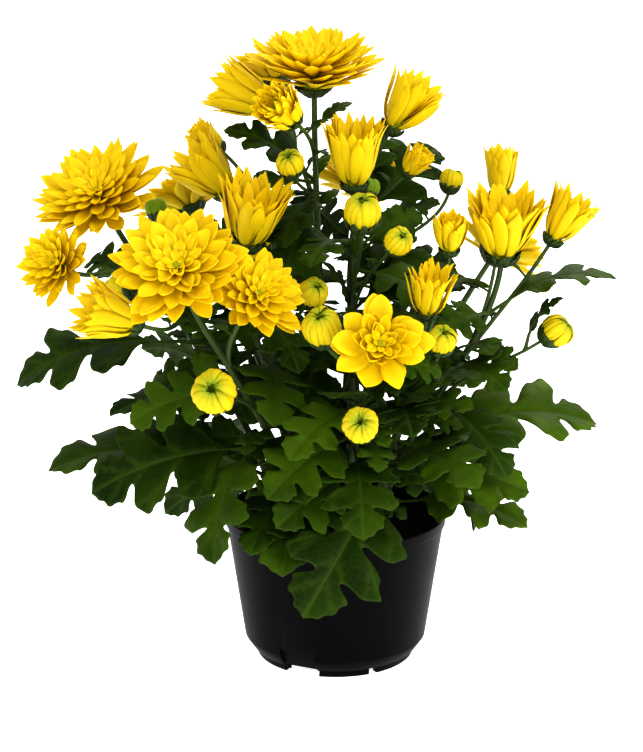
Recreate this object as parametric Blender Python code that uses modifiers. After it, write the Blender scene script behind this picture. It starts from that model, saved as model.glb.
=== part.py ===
"""A pot chrysanthemum in flower: leafy shoots with yellow double flower heads, in a black nursery pot.

Blender 4.5 script. Metres, +Z up. The origin is the middle of the pot's base, on the surface that it stands
on, and -Y is the side that the plant is looked at from. Each flower head and bud is one solid, each leafy
shoot with its stalks, leaves and green calyxes is one solid, and so are the pot and the soil.
"""

import math
import random
from collections import namedtuple

import bmesh
import bpy
from mathutils import Matrix, Vector
from mathutils.bvhtree import BVHTree

# The pot: a plain 13 cm nursery pot
POT_HEIGHT = 0.085
POT_RIM_RADIUS = 0.0640
WALL_FOOT_RADIUS = 0.0516
LIP_RADIUS = 0.0480
CORNER_HEIGHT = 0.0115
POT_WALL = 0.0014
RIM_WALL = 0.0021
RIM_DEPTH = 0.006
FOOT_HEIGHT = 0.0045
FOOT_OUTER_RADIUS = 0.0458
FOOT_INNER_RADIUS = 0.0410
CENTRE_FOOT_RADIUS = 0.0070
FLOOR_TOP = 0.0072
POT_STEPS = 28
RECESS_AZIMUTHS = (5.0, 125.0, 245.0)
RECESS_LOW = (0.0432, 0.0018)
RECESS_HIGH = (0.0527, 0.0176)
RECESS_WIDTH = 0.021
RECESS_OUT = 0.020
FLOOR_CORNER_RADIUS = 0.0420
FLOOR_CORNER_TOP = 0.0240
NOTCH_AZIMUTHS = (58.0, 178.0, 298.0)
NOTCH_SIZE = (0.014, 0.0050, 0.0082)

# The soil, a little below the rim
SOIL_TOP = 0.0745
SOIL_GAP = 0.0004
SOIL_DOME = 0.0022
HOLE_RADIUS = 0.0032
STEM_FOOT = 0.0560
HOLE_BOTTOM = 0.0550
STEM_RISE = 0.0800

# Stems and calyxes
MAIN_RADIUS = 0.0023
STALK_RADIUS = 0.0015
MAIN_TAPER = 0.65
STALK_TAPER = 0.8
MAIN_STEPS = 4
STALK_STEPS = 3
CALYX_DEPTH = 0.70
SEAT_GAP = 0.0003

# Leaves
BLADE_THICK = 0.0007
LEAF_CLEARANCE = 0.0008
GOLDEN_ANGLE = 137.5
PETIOLE_SHARE = 0.24
PETIOLE_HALF_WIDTH = 0.018

# Petals
PETAL_THICK = 0.0007

SEED = 11

# One flower head. at is its middle, size its width and height, lean_to the azimuth that it leans towards and
# lean how far, in degrees; fork is where its stalk leaves the shoot's main stem, as a share of it, and 1 is
# the main stem's own end. Azimuth 0 is +X and 270 is -Y.
Head = namedtuple("Head", "name form at size lean_to lean fork")

# One leaf: where it leaves its stem, as a share of it, where its tip is, its roll about the line between them
# in degrees, and which stem it grows from: 0 is the main stem, 1 the stalk of the shoot's second head.
Leaf = namedtuple("Leaf", "along tip roll stem", defaults=(0,))

# One leafy shoot: where it stands in the soil, its heads, its chosen leaves, and how many further leaves grow
# on it by the rule. The first head ends the main stem.
Shoot = namedtuple("Shoot", "name foot heads leaves ruled")

SHOOTS = (
    Shoot("shoot_crown", (-0.004, 0.006), (
        Head("bloom_crown", "open", (-0.012, 0.000, 0.3385), (0.0784, 0.0260), 270, 14, 1.0),
        Head("bloom_small_top", "button", (-0.030, -0.050, 0.325), (0.0297, 0.0250), 235, 58, 0.80),
        Head("bloom_back_crown", "small open", (-0.036, 0.064, 0.3295), (0.0615, 0.0187), 120, 22, 0.72),
        Head("bud_under_crown", "bud", (-0.025, -0.030, 0.2927), (0.0144, 0.0130), 250, 35, 0.76),
    ), (
        Leaf(0.92, (0.010, 0.008, 0.319), 20),
        Leaf(0.82, (-0.063, 0.002, 0.302), -30),
        Leaf(0.78, (-0.040, -0.052, 0.236), -10),
        Leaf(0.70, (0.024, 0.004, 0.228), 30),
        Leaf(0.78, (-0.006, 0.044, 0.229), -60),
        Leaf(0.82, (-0.045, -0.004, 0.273), -20),
    ), 3),
    Shoot("shoot_upper_left", (-0.021, 0.013), (
        Head("bloom_upper_left", "cup", (-0.072, 0.014, 0.281), (0.0414, 0.0333), 190, 42, 1.0),
        Head("bloom_top_left", "cup", (-0.053, 0.024, 0.323), (0.0360, 0.0354), 185, 66, 0.74),
        Head("bloom_far_left", "button", (-0.0745, 0.050, 0.2935), (0.0212, 0.0208), 178, 50, 0.66),
    ), (
        Leaf(0.74, (-0.050, -0.020, 0.232), -20),
    ), 2),
    Shoot("shoot_left", (-0.032, -0.006), (
        Head("bloom_left", "open", (-0.132, 0.004, 0.268), (0.0784, 0.0230), 240, 36, 1.0),
        Head("bloom_left_side", "small open", (-0.149, -0.056, 0.2417), (0.0456, 0.0187), 236, 62, 0.74),
        Head("bloom_left_low", "cup", (-0.119, -0.085, 0.222), (0.0360, 0.0312), 198, 66, 0.62),
        Head("bud_left", "bud", (-0.102, 0.022, 0.258), (0.0111, 0.0104), 120, 14, 0.70),
    ), (
        Leaf(0.62, (-0.180, -0.006, 0.156), -20),
        Leaf(0.46, (-0.127, -0.022, 0.148), 0),
        Leaf(0.30, (-0.162, -0.024, 0.114), -8),
        Leaf(0.80, (-0.148, -0.004, 0.227), 60),
        Leaf(0.54, (-0.101, 0.064, 0.158), 60),
    ), 1),
    Shoot("shoot_front_left", (-0.018, -0.028), (
        Head("bloom_front_left", "open", (-0.082, -0.100, 0.249), (0.0742, 0.0229), 262, 46, 1.0),
        Head("bloom_front", "small open", (-0.042, -0.076, 0.230), (0.0572, 0.0187), 292, 52, 0.66),
        Head("bud_front_left", "bud", (-0.063, -0.122, 0.190), (0.0223, 0.0198), 262, 62, 0.50),
    ), (
        Leaf(0.44, (-0.131, -0.066, 0.108), -36),
        Leaf(0.48, (-0.073, -0.096, 0.087), 20),
        Leaf(0.32, (-0.043, -0.091, 0.089), -10),
        Leaf(0.62, (-0.106, -0.074, 0.150), -40),
        Leaf(0.40, (-0.084, -0.011, 0.084), 60),
    ), 0),
    Shoot("shoot_middle_left", (-0.012, -0.010), (
        Head("bloom_middle_left", "cup", (-0.0455, -0.036, 0.2655), (0.0436, 0.0374), 300, 20, 1.0),
        Head("bud_middle_left", "bud", (-0.0125, -0.050, 0.2257), (0.0156, 0.0140), 300, 42, 0.58),
    ), (
        Leaf(0.30, (-0.029, -0.100, 0.081), 0),
        Leaf(0.48, (-0.020, -0.090, 0.118), 8),
        Leaf(0.66, (-0.056, -0.084, 0.160), -16),
        Leaf(0.82, (-0.020, -0.072, 0.186), 0),
    ), 0),
    Shoot("shoot_front", (0.005, -0.030), (
        Head("bloom_front_right", "small open", (0.022, -0.104, 0.210), (0.0572, 0.0187), 275, 60, 1.0),
        Head("bud_opening_front", "bud", (-0.008, -0.086, 0.215), (0.0180, 0.0182), 250, 30, 0.74),
        Head("bud_front_low", "bud", (0.012, -0.124, 0.173), (0.0180, 0.0161), 268, 58, 0.62),
    ), (
        Leaf(0.42, (-0.001, -0.106, 0.101), -40),
        Leaf(0.50, (0.004, -0.118, 0.108), 0),
        Leaf(0.68, (-0.020, -0.112, 0.148), -16),
    ), 1),
    Shoot("shoot_middle", (0.008, -0.010), (
        Head("bloom_middle", "cup", (0.010, -0.020, 0.296), (0.0392, 0.0374), 270, 12, 1.0),
        Head("bud_middle_front", "bud", (0.014, -0.050, 0.270), (0.0212, 0.0172), 270, 24, 0.72),
        Head("bud_middle_back", "bud", (0.019, 0.010, 0.272), (0.0106, 0.0099), 60, 20, 0.70),
        Head("bud_middle_right", "bud", (0.033, -0.056, 0.255), (0.0144, 0.0135), 300, 50, 0.66),
    ), (
        Leaf(0.80, (0.052, -0.046, 0.214), 20),
        Leaf(0.66, (-0.001, 0.011, 0.231), 50),
        Leaf(0.62, (0.040, -0.078, 0.176), 14),
        Leaf(0.56, (0.031, -0.046, 0.133), -40),
    ), 1),
    Shoot("shoot_upper_right", (0.016, 0.012), (
        Head("bloom_top_right", "cup", (0.040, 0.021, 0.3175), (0.0360, 0.0340), 350, 33, 1.0),
        Head("bud_opening_right", "button", (0.045, 0.010, 0.287), (0.0191, 0.0177), 340, 40, 0.74),
        Head("bud_upper_right", "bud", (0.066, 0.030, 0.273), (0.0127, 0.0116), 20, 12, 0.64),
    ), (
        Leaf(0.78, (0.074, 0.042, 0.280), 46),
        Leaf(0.86, (0.032, 0.058, 0.296), 30),
        Leaf(0.66, (0.062, 0.006, 0.240), 30),
        Leaf(0.72, (0.059, 0.055, 0.250), -50),
        Leaf(0.60, (0.058, 0.012, 0.224), 40),
    ), 1),
    Shoot("shoot_right", (0.026, -0.002), (
        Head("bloom_right", "cup", (0.093, -0.010, 0.254), (0.0509, 0.0374), 275, 14, 1.0),
        Head("bloom_right_outer", "cup", (0.129, 0.004, 0.256), (0.0330, 0.0302), 352, 30, 0.62),
        Head("bloom_right_back", "tulip", (0.095, 0.048, 0.275), (0.0223, 0.0281), 90, 6, 0.66),
        Head("bud_right", "bud", (0.123, -0.020, 0.197), (0.0167, 0.0156), 342, 52, 0.50),
    ), (
        Leaf(0.82, (0.158, 0.000, 0.222), 0),
        Leaf(0.84, (0.124, -0.026, 0.215), 30, 3),
        Leaf(0.42, (0.152, 0.000, 0.131), 20),
        Leaf(0.24, (0.106, -0.040, 0.086), 10),
        Leaf(0.68, (0.086, -0.052, 0.168), 24),
        Leaf(0.72, (0.096, -0.026, 0.172), 40),
        Leaf(0.78, (0.060, -0.012, 0.200), -30),
    ), 1),
    Shoot("shoot_front_right", (0.024, -0.022), (
        Head("bloom_right_front", "cup", (0.050, -0.060, 0.228), (0.0286, 0.0281), 292, 18, 1.0),
        Head("bud_tulip_right", "tulip", (0.062, -0.030, 0.254), (0.0212, 0.0224), 270, 16, 0.74),
        Head("bud_front_right", "bud", (0.056, -0.077, 0.206), (0.0148, 0.0135), 285, 30, 0.66),
    ), (
        Leaf(0.48, (0.070, -0.098, 0.128), 16),
        Leaf(0.42, (0.000, -0.116, 0.057), -30),
        Leaf(0.38, (0.104, -0.054, 0.104), 34),
        Leaf(0.64, (0.036, -0.104, 0.160), 10),
    ), 0),
    Shoot("shoot_back_left", (-0.022, 0.030), (
        Head("bloom_back_left", "open", (-0.088, 0.078, 0.252), (0.0678, 0.0198), 138, 34, 1.0),
        Head("bloom_back_left_low", "cup", (-0.046, 0.122, 0.208), (0.0360, 0.0312), 105, 44, 0.66),
        Head("bud_back_left", "bud", (-0.126, 0.056, 0.205), (0.0170, 0.0156), 160, 48, 0.60),
    ), (
        Leaf(0.34, (-0.104, 0.070, 0.094), 40),
        Leaf(0.44, (-0.052, 0.118, 0.106), 10),
    ), 2),
    Shoot("shoot_back", (0.004, 0.033), (
        Head("bloom_back", "open", (0.018, 0.102, 0.258), (0.0657, 0.0198), 78, 38, 1.0),
        Head("bud_back", "bud", (-0.010, 0.124, 0.168), (0.0170, 0.0156), 96, 56, 0.56),
    ), (
        Leaf(0.30, (0.000, 0.110, 0.072), 0),
        Leaf(0.56, (0.006, 0.108, 0.160), 0),
    ), 3),
    Shoot("shoot_back_right", (0.027, 0.026), (
        Head("bloom_back_right", "small open", (0.098, 0.084, 0.222), (0.0636, 0.0187), 42, 46, 1.0),
        Head("bloom_back_right_low", "cup", (0.056, 0.124, 0.190), (0.0339, 0.0302), 64, 52, 0.62),
    ), (
        Leaf(0.34, (0.104, 0.068, 0.100), -40),
        Leaf(0.44, (0.058, 0.114, 0.108), -10),
    ), 2),
)

# The rings of petals of each form, from the outside in: how many petals, how far the ring reaches as a share
# of the half width, how high it rises as a share of the height, the same two for where neighbouring petals
# part, and whether the petals are blunt or pointed.
Ring = namedtuple("Ring", "petals reach rise parting floor blunt")
RINGS = {
    "open": (
        Ring(12, 1.00, 0.58, 0.50, 0.26, True),
        Ring(9, 0.80, 0.86, 0.36, 0.48, False),
        Ring(6, 0.46, 0.98, 0.20, 0.66, False),
    ),
    "small open": (
        Ring(10, 1.00, 0.58, 0.50, 0.26, True),
        Ring(8, 0.78, 0.86, 0.36, 0.48, False),
        Ring(5, 0.44, 0.98, 0.20, 0.66, False),
    ),
    "button": (Ring(8, 1.00, 0.82, 0.74, 0.40, True), Ring(7, 0.64, 1.00, 0.40, 0.66, False)),
    "cup": (Ring(7, 1.00, 0.92, 0.66, 0.42, True), Ring(6, 0.66, 1.00, 0.42, 0.56, False)),
    "tulip": (Ring(6, 1.00, 0.94, 0.94, 0.50, True), Ring(5, 0.60, 1.00, 0.46, 0.66, False)),
}
# Where a blunt petal's shoulders are, as a share of the way from the parting to the tip, how wide they stand
# as a share of the room that a petal has, and how much more the petals of each form rise near their tips.
SHOULDER = 0.66
SHOULDER_WIDTH = 0.94
CURL = {"open": 1.25, "small open": 1.25, "button": 1.1, "cup": 1.1, "tulip": 0.9}
CALYX_SHARE = {"open": 0.115, "small open": 0.125, "button": 0.22, "cup": 0.17, "tulip": 0.24, "bud": 0.36}
MIDDLE_SHARE = {"open": 0.35, "small open": 0.35, "button": 0.50, "cup": 0.50, "tulip": 0.50, "bud": 0.50}
HEART = {"open": 0.80, "small open": 0.80, "button": 0.86, "cup": 0.62, "tulip": 0.86}
BUD_SIDES = 8
BUD_RIDGE = 0.05

# Half of a leaf's outline, from the foot of the blade to its tip: along the blade and out from its rib, both
# as shares of the blade's length. Two rounded lobes on each side and a toothed end.
LEAF_OUTLINE = ((0.13, 0.140), (0.38, 0.360), (0.43, 0.150), (0.66, 0.340), (0.72, 0.150), (0.89, 0.150))
LEAF_RIB = (0.36, 0.68, 1.0)
LEAF_ROLL = 34.0
LEAF_TIP_DROP = 19.5
LEAF_TIP_REACH = 0.956
LEAF_FOLD = 0.22
LEAF_ARCH = 0.9
LEAF_LOBE_DROOP = 0.10

PLANT = bpy.data.collections.new("pot chrysanthemum")
CUTTERS = bpy.data.collections.new("cutters")


def clear_scene():
    for obj in list(bpy.data.objects):
        bpy.data.objects.remove(obj)
    bpy.context.scene.collection.children.link(PLANT)
    bpy.context.scene.collection.children.link(CUTTERS)


def material(name, colour, roughness):
    """A Principled material of one colour."""
    made = bpy.data.materials.new(name)
    made.use_nodes = True
    shader = made.node_tree.nodes["Principled BSDF"]
    shader.inputs["Base Color"].default_value = (*colour, 1.0)
    shader.inputs["Roughness"].default_value = roughness
    shader.inputs["Metallic"].default_value = 0.0
    return made


def linked(name, mesh, collection=PLANT):
    obj = bpy.data.objects.new(name, mesh)
    collection.objects.link(obj)
    return obj


def direction(azimuth, elevation):
    """The unit vector at an azimuth and an elevation in degrees."""
    a, e = math.radians(azimuth), math.radians(elevation)
    return Vector((math.cos(a) * math.cos(e), math.sin(a) * math.cos(e), math.sin(e)))


def evaluated_mesh(obj):
    """The object's mesh as its modifiers leave it."""
    graph = bpy.context.evaluated_depsgraph_get()
    return bpy.data.meshes.new_from_object(obj.evaluated_get(graph))


def bezier(p0, p1, p2, p3, steps):
    """Points along a cubic curve."""
    points = []
    for i in range(steps + 1):
        t = i / steps
        s = 1.0 - t
        points.append(s**3 * p0 + 3 * s * s * t * p1 + 3 * s * t * t * p2 + t**3 * p3)
    return points


def along(points, share):
    """The point at a share of a polyline's steps, and the direction there."""
    place = share * (len(points) - 1)
    i = min(int(place), len(points) - 2)
    step = points[i + 1] - points[i]
    return points[i] + (place - i) * step, step.normalized()


def facing(head):
    """The direction that a head looks in."""
    return direction(head.lean_to, 90.0 - head.lean)


def seat_of(head):
    """The middle of the underside of a head."""
    return Vector(head.at) - MIDDLE_SHARE[head.form] * head.size[1] * facing(head)


def standing(place, axis, turn=0.0):
    """The matrix that puts +Z along axis and the origin at place."""
    turned = axis.to_track_quat("Z", "Y").to_matrix().to_4x4()
    return Matrix.Translation(place) @ turned @ Matrix.Rotation(turn, 4, "Z")


def tube(points, radii, sides_level=1):
    """A closed round solid along points, as a mesh object."""
    curve = bpy.data.curves.new("tube", "CURVE")
    curve.dimensions = "3D"
    curve.bevel_depth = 1.0
    curve.bevel_resolution = sides_level
    curve.use_fill_caps = True
    spline = curve.splines.new("POLY")
    spline.points.add(len(points) - 1)
    for point, place, radius in zip(spline.points, points, radii):
        point.co = (*place, 1.0)
        point.radius = radius
    guide = linked("tube", curve)
    solid = linked("tube_mesh", evaluated_mesh(guide))
    bpy.data.objects.remove(guide)
    weld(solid.data)
    return solid


def weld(mesh):
    """Joins the points of a mesh that lie on each other, and turns its faces outwards."""
    bm = bmesh.new()
    bm.from_mesh(mesh)
    bmesh.ops.remove_doubles(bm, verts=bm.verts, dist=1e-6)
    bmesh.ops.recalc_face_normals(bm, faces=bm.faces)
    bm.to_mesh(mesh)
    bm.free()


def sheet_object(name, bm, thick):
    """A thin solid from an open surface: its faces are triangles, so both sides are split alike."""
    bmesh.ops.triangulate(bm, faces=bm.faces)
    bmesh.ops.recalc_face_normals(bm, faces=bm.faces)
    mesh = bpy.data.meshes.new(name)
    bm.to_mesh(mesh)
    bm.free()
    obj = linked(name, mesh)
    skin = obj.modifiers.new("thickness", "SOLIDIFY")
    skin.thickness = thick
    skin.offset = 0.0
    return obj


def fuse(name, pieces, colour):
    """One solid from overlapping closed pieces, which are removed."""
    base = linked(name, evaluated_mesh(pieces[0]))
    base.matrix_world = pieces[0].matrix_world.copy()
    others = bpy.data.collections.new(name + " pieces")
    bpy.context.scene.collection.children.link(others)
    for piece in pieces[1:]:
        others.objects.link(piece)
    union = base.modifiers.new("union", "BOOLEAN")
    union.operation = "UNION"
    union.operand_type = "COLLECTION"
    union.collection = others
    union.solver = "MANIFOLD"
    bpy.context.view_layer.update()
    mesh = evaluated_mesh(base)
    base.modifiers.remove(union)
    base.data = mesh
    mesh.name = name
    for piece in pieces:
        bpy.data.objects.remove(piece)
    bpy.data.collections.remove(others)
    base.data.materials.clear()
    base.data.materials.append(colour)
    return base


def lathe(name, profile, steps, collection=PLANT):
    """A turned solid. The profile is points of radius and height, down the outer side."""
    mesh = bpy.data.meshes.new(name)
    mesh.from_pydata([(r, 0.0, z) for r, z in profile], [(i, i + 1) for i in range(len(profile) - 1)], [])
    obj = linked(name, mesh, collection)
    screw = obj.modifiers.new("turn", "SCREW")
    screw.steps = steps
    screw.render_steps = steps
    screw.use_merge_vertices = True
    screw.merge_threshold = 0.00001
    return obj


def cutter_box(size, matrix):
    """A box that cuts, placed by matrix."""
    bm = bmesh.new()
    bmesh.ops.create_cube(bm, size=1.0)
    bmesh.ops.scale(bm, vec=size, verts=bm.verts)
    mesh = bpy.data.meshes.new("cutter")
    bm.to_mesh(mesh)
    bm.free()
    obj = linked("cutter", mesh, CUTTERS)
    obj.matrix_world = matrix
    obj.hide_render = True
    obj.display_type = "WIRE"
    return obj


def cut_away(obj, cutters):
    """Cuts a set of cutters from obj."""
    group = bpy.data.collections.new(obj.name + " cuts")
    CUTTERS.children.link(group)
    for cutter in cutters:
        CUTTERS.objects.unlink(cutter)
        group.objects.link(cutter)
    group.hide_render = True
    cut = obj.modifiers.new("cuts", "BOOLEAN")
    cut.operation = "DIFFERENCE"
    cut.operand_type = "COLLECTION"
    cut.collection = group
    cut.solver = "EXACT"


def wall_radius(z):
    """The outside radius of the pot's wall at a height, above its cut corner."""
    share = (z - FOOT_HEIGHT) / (POT_HEIGHT - FOOT_HEIGHT)
    return WALL_FOOT_RADIUS + share * (POT_RIM_RADIUS - RIM_WALL + POT_WALL - WALL_FOOT_RADIUS)


def build_pot(colour):
    """The pot: a tapered wall under a slightly thicker rim, a raised floor, and a ring of feet below it."""
    rim_foot = POT_HEIGHT - RIM_DEPTH
    pot = lathe("pot", (
        (0.0, FLOOR_TOP),
        (FLOOR_CORNER_RADIUS, FLOOR_TOP),
        (wall_radius(FLOOR_CORNER_TOP) - POT_WALL, FLOOR_CORNER_TOP),
        (POT_RIM_RADIUS - RIM_WALL, POT_HEIGHT),
        (POT_RIM_RADIUS, POT_HEIGHT),
        (POT_RIM_RADIUS - 0.0004, rim_foot),
        (wall_radius(rim_foot), rim_foot - 0.0012),
        (wall_radius(CORNER_HEIGHT), CORNER_HEIGHT),
        (LIP_RADIUS, FOOT_HEIGHT),
        (FOOT_OUTER_RADIUS, FOOT_HEIGHT),
        (FOOT_OUTER_RADIUS - 0.0004, 0.0),
        (FOOT_INNER_RADIUS, 0.0),
        (FOOT_INNER_RADIUS, FLOOR_TOP - POT_WALL),
        (CENTRE_FOOT_RADIUS, FLOOR_TOP - POT_WALL),
        (CENTRE_FOOT_RADIUS, 0.0),
        (0.0, 0.0),
    ), POT_STEPS)
    low = Vector((RECESS_LOW[0], 0.0, RECESS_LOW[1]))
    high = Vector((RECESS_HIGH[0], 0.0, RECESS_HIGH[1]))
    lean = Matrix.Rotation(math.atan2(high.x - low.x, high.z - low.z), 4, "Y")
    size = (RECESS_OUT, RECESS_WIDTH, (high - low).length)
    face = Matrix.Translation((low + high) / 2) @ lean @ Matrix.Translation((0.5 * RECESS_OUT, 0.0, 0.0))
    cutters = []
    for azimuth in RECESS_AZIMUTHS:
        cutters.append(cutter_box(size, Matrix.Rotation(math.radians(azimuth), 4, "Z") @ face))
    for azimuth in NOTCH_AZIMUTHS:
        turn = Matrix.Rotation(math.radians(azimuth), 4, "Z")
        cutters.append(cutter_box(NOTCH_SIZE, turn @ Matrix.Translation((FOOT_INNER_RADIUS, 0.0, 0.0))))
    cut_away(pot, cutters)
    pot.data.materials.append(colour)
    return pot


def build_soil(colour):
    """The soil fills the pot, with a plain hole for each shoot."""
    top_radius = wall_radius(SOIL_TOP) - POT_WALL - SOIL_GAP
    soil = lathe("soil", (
        (0.0, SOIL_TOP + SOIL_DOME),
        (0.6 * top_radius, SOIL_TOP + 0.6 * SOIL_DOME),
        (top_radius - SOIL_GAP, SOIL_TOP),
        (wall_radius(FLOOR_CORNER_TOP) - POT_WALL - 2 * SOIL_GAP, FLOOR_CORNER_TOP + SOIL_GAP),
        (FLOOR_CORNER_RADIUS - 2 * SOIL_GAP, FLOOR_TOP + SOIL_GAP),
        (0.0, FLOOR_TOP + SOIL_GAP),
    ), POT_STEPS // 2)
    cutters = []
    for shoot in SHOOTS:
        bm = bmesh.new()
        bmesh.ops.create_cone(
            bm, cap_ends=True, segments=6, radius1=HOLE_RADIUS, radius2=HOLE_RADIUS,
            depth=2 * (SOIL_TOP + 2 * SOIL_DOME - HOLE_BOTTOM),
        )
        mesh = bpy.data.meshes.new("hole")
        bm.to_mesh(mesh)
        bm.free()
        hole = linked("hole", mesh, CUTTERS)
        hole.location = (*shoot.foot, SOIL_TOP + 2 * SOIL_DOME)
        hole.hide_render = True
        hole.display_type = "WIRE"
        cutters.append(hole)
    bpy.context.view_layer.update()
    cut_away(soil, cutters)
    soil.data.materials.append(colour)
    return soil


def main_line(shoot):
    """The centreline of a shoot's main stem, from inside the soil to the seat of its first head."""
    head = shoot.heads[0]
    foot = Vector((*shoot.foot, STEM_FOOT))
    start = Vector((*shoot.foot, STEM_RISE))
    end = seat_of(head) - SEAT_GAP * facing(head)
    span = (end - start).length
    outward = Vector((end.x - start.x, end.y - start.y, 0.0))
    rising = start + Vector((0, 0, 0.34 * span)) + 0.12 * outward
    return [foot] + bezier(start, rising, end - 0.34 * span * facing(head), end, MAIN_STEPS)


def stalk_line(head, main):
    """The centreline of a head's stalk, from its fork on the main stem."""
    start, ahead = along(main, head.fork)
    end = seat_of(head) - SEAT_GAP * facing(head)
    span = (end - start).length
    return bezier(start, start + 0.36 * span * ahead, end - 0.36 * span * facing(head), end, STALK_STEPS)


def stalk_radius(head):
    """The radius of a stalk at its fork: a thin one carries a bud."""
    return STALK_RADIUS * min(1.0, 0.66 + 8.0 * head.size[0])


def tapered(radius, taper, count):
    """Radii that fall evenly from radius to a share of it."""
    return [radius * (1.0 - (1.0 - taper) * i / (count - 1)) for i in range(count)]


def with_calyx(points, radii, head):
    """Ends a stalk in the green cup that its head sits on: the same tube, flaring to a flat top."""
    radius = CALYX_SHARE[head.form] * head.size[0]
    seat = points[-1]
    neck = seat - CALYX_DEPTH * radius * facing(head)
    belly = seat - 0.45 * CALYX_DEPTH * radius * facing(head)
    if not head.form.endswith("open"):
        return points[:-1] + [neck, seat], radii[:-1] + [radii[-1], radius]
    return points[:-1] + [neck, belly, seat], radii[:-1] + [radii[-1], 0.82 * radius, radius]


def band(bm, low, high):
    """Fills the strip between two loops of points that turn the same way."""
    i = j = 0
    while i < len(low) or j < len(high):
        a, b = low[i % len(low)], high[j % len(high)]
        if (i + 1) / len(low) <= (j + 1) / len(high):
            i += 1
            bm.faces.new((a, low[i % len(low)], b))
        else:
            j += 1
            bm.faces.new((a, high[j % len(high)], b))


def petal_ring(bm, head, ring, rand):
    """The two sides and the edges of one ring of petals. It gives its lower and upper loops of partings."""
    half_width, height = 0.5 * head.size[0], head.size[1]
    pitch = 2.0 * math.pi / ring.petals
    base = Vector((ring.parting * half_width, ring.floor * height))
    end = Vector((ring.reach * half_width, ring.rise * height))

    def pair(angle, share, reach=1.0, lift=0.0):
        curl = share ** CURL[head.form]
        r = (base.x + share * (end.x - base.x)) * (1.0 + (reach - 1.0) * share)
        z = base.y + curl * (end.y - base.y) + lift * share
        slope = Vector((end.x - base.x, end.y - base.y)).normalized()
        off = 0.5 * PETAL_THICK
        low = (r + off * slope.y, z - off * slope.x)
        high = (r - off * slope.y, z + off * slope.x)
        return [bm.verts.new((q * math.cos(angle), q * math.sin(angle), h)) for q, h in (low, high)]

    partings = [pair((i + 0.5) * pitch, 0.0) for i in range(ring.petals)]
    for i in range(ring.petals):
        middle = (i + 0.06 * rand.uniform(-1, 1)) * pitch
        reach = rand.uniform(0.94, 1.0)
        lift = height * rand.uniform(-0.04, 0.04)
        outline = [partings[i - 1]]
        if ring.blunt:
            aside = 0.5 * pitch * SHOULDER_WIDTH
            outline.append(pair(i * pitch - aside, SHOULDER, reach, lift))
            outline.append(pair(middle, 1.0, reach, lift))
            outline.append(pair(i * pitch + aside, SHOULDER, reach, lift))
        else:
            outline.append(pair(middle, 1.0, reach, lift))
        outline.append(partings[i])
        for side in (0, 1):
            edge = [points[side] for points in outline]
            if ring.blunt:
                bm.faces.new((edge[1], edge[2], edge[3]))
                bm.faces.new((edge[0], edge[1], edge[3]))
                bm.faces.new((edge[0], edge[3], edge[4]))
            else:
                bm.faces.new(edge)
        for near, far in zip(outline, outline[1:]):
            bm.faces.new((near[0], near[1], far[1]))
            bm.faces.new((near[0], far[1], far[0]))
    return [points[0] for points in partings], [points[1] for points in partings]


def flower_solid(head, rand):
    """An open head as one closed surface that folds in and out: belly, rings of petals, then its heart."""
    bm = bmesh.new()
    count = RINGS[head.form][0].petals
    seat_radius = 0.92 * CALYX_SHARE[head.form] * head.size[0]
    loop = []
    for i in range(count):
        angle = (i + 0.5) * 2.0 * math.pi / count
        loop.append(bm.verts.new((seat_radius * math.cos(angle), seat_radius * math.sin(angle), 0.0)))
    bm.faces.new(loop)
    for ring in RINGS[head.form]:
        lower, upper = petal_ring(bm, head, ring, rand)
        band(bm, loop, lower)
        loop = upper
    heart = bm.verts.new((0.0, 0.0, head.size[1] * HEART[head.form]))
    for i in range(len(loop)):
        bm.faces.new((loop[i - 1], loop[i], heart))
    bmesh.ops.triangulate(bm, faces=bm.faces)
    bmesh.ops.recalc_face_normals(bm, faces=bm.faces)
    mesh = bpy.data.meshes.new(head.name)
    bm.to_mesh(mesh)
    bm.free()
    return linked(head.name, mesh)


def bud_solid(head):
    """A closed bud: a ball of folded petals with low ridges, flat where it sits in its calyx."""
    half_width, height = 0.5 * head.size[0], head.size[1]
    bm = bmesh.new()
    bmesh.ops.create_uvsphere(bm, u_segments=BUD_SIDES, v_segments=5, radius=1.0)
    for vert in bm.verts:
        angle = math.atan2(vert.co.y, vert.co.x)
        ridge = 1.0 + BUD_RIDGE * math.cos(0.5 * BUD_SIDES * angle)
        vert.co.x *= half_width * ridge
        vert.co.y *= half_width * ridge
        dimple = 0.12 if vert.co.z > 0.99 else 0.0
        vert.co.z = max(0.0, height * (0.42 + 0.58 * vert.co.z - dimple))
    mesh = bpy.data.meshes.new(head.name)
    bm.to_mesh(mesh)
    bm.free()
    return linked(head.name, mesh)


def build_head(head, rand, colour):
    """One flower head or bud, sitting on its calyx."""
    matrix = standing(seat_of(head), facing(head), rand.random())
    made = bud_solid(head) if head.form == "bud" else flower_solid(head, rand)
    made.data.materials.append(colour)
    made.data.transform(matrix)
    return made


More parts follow.
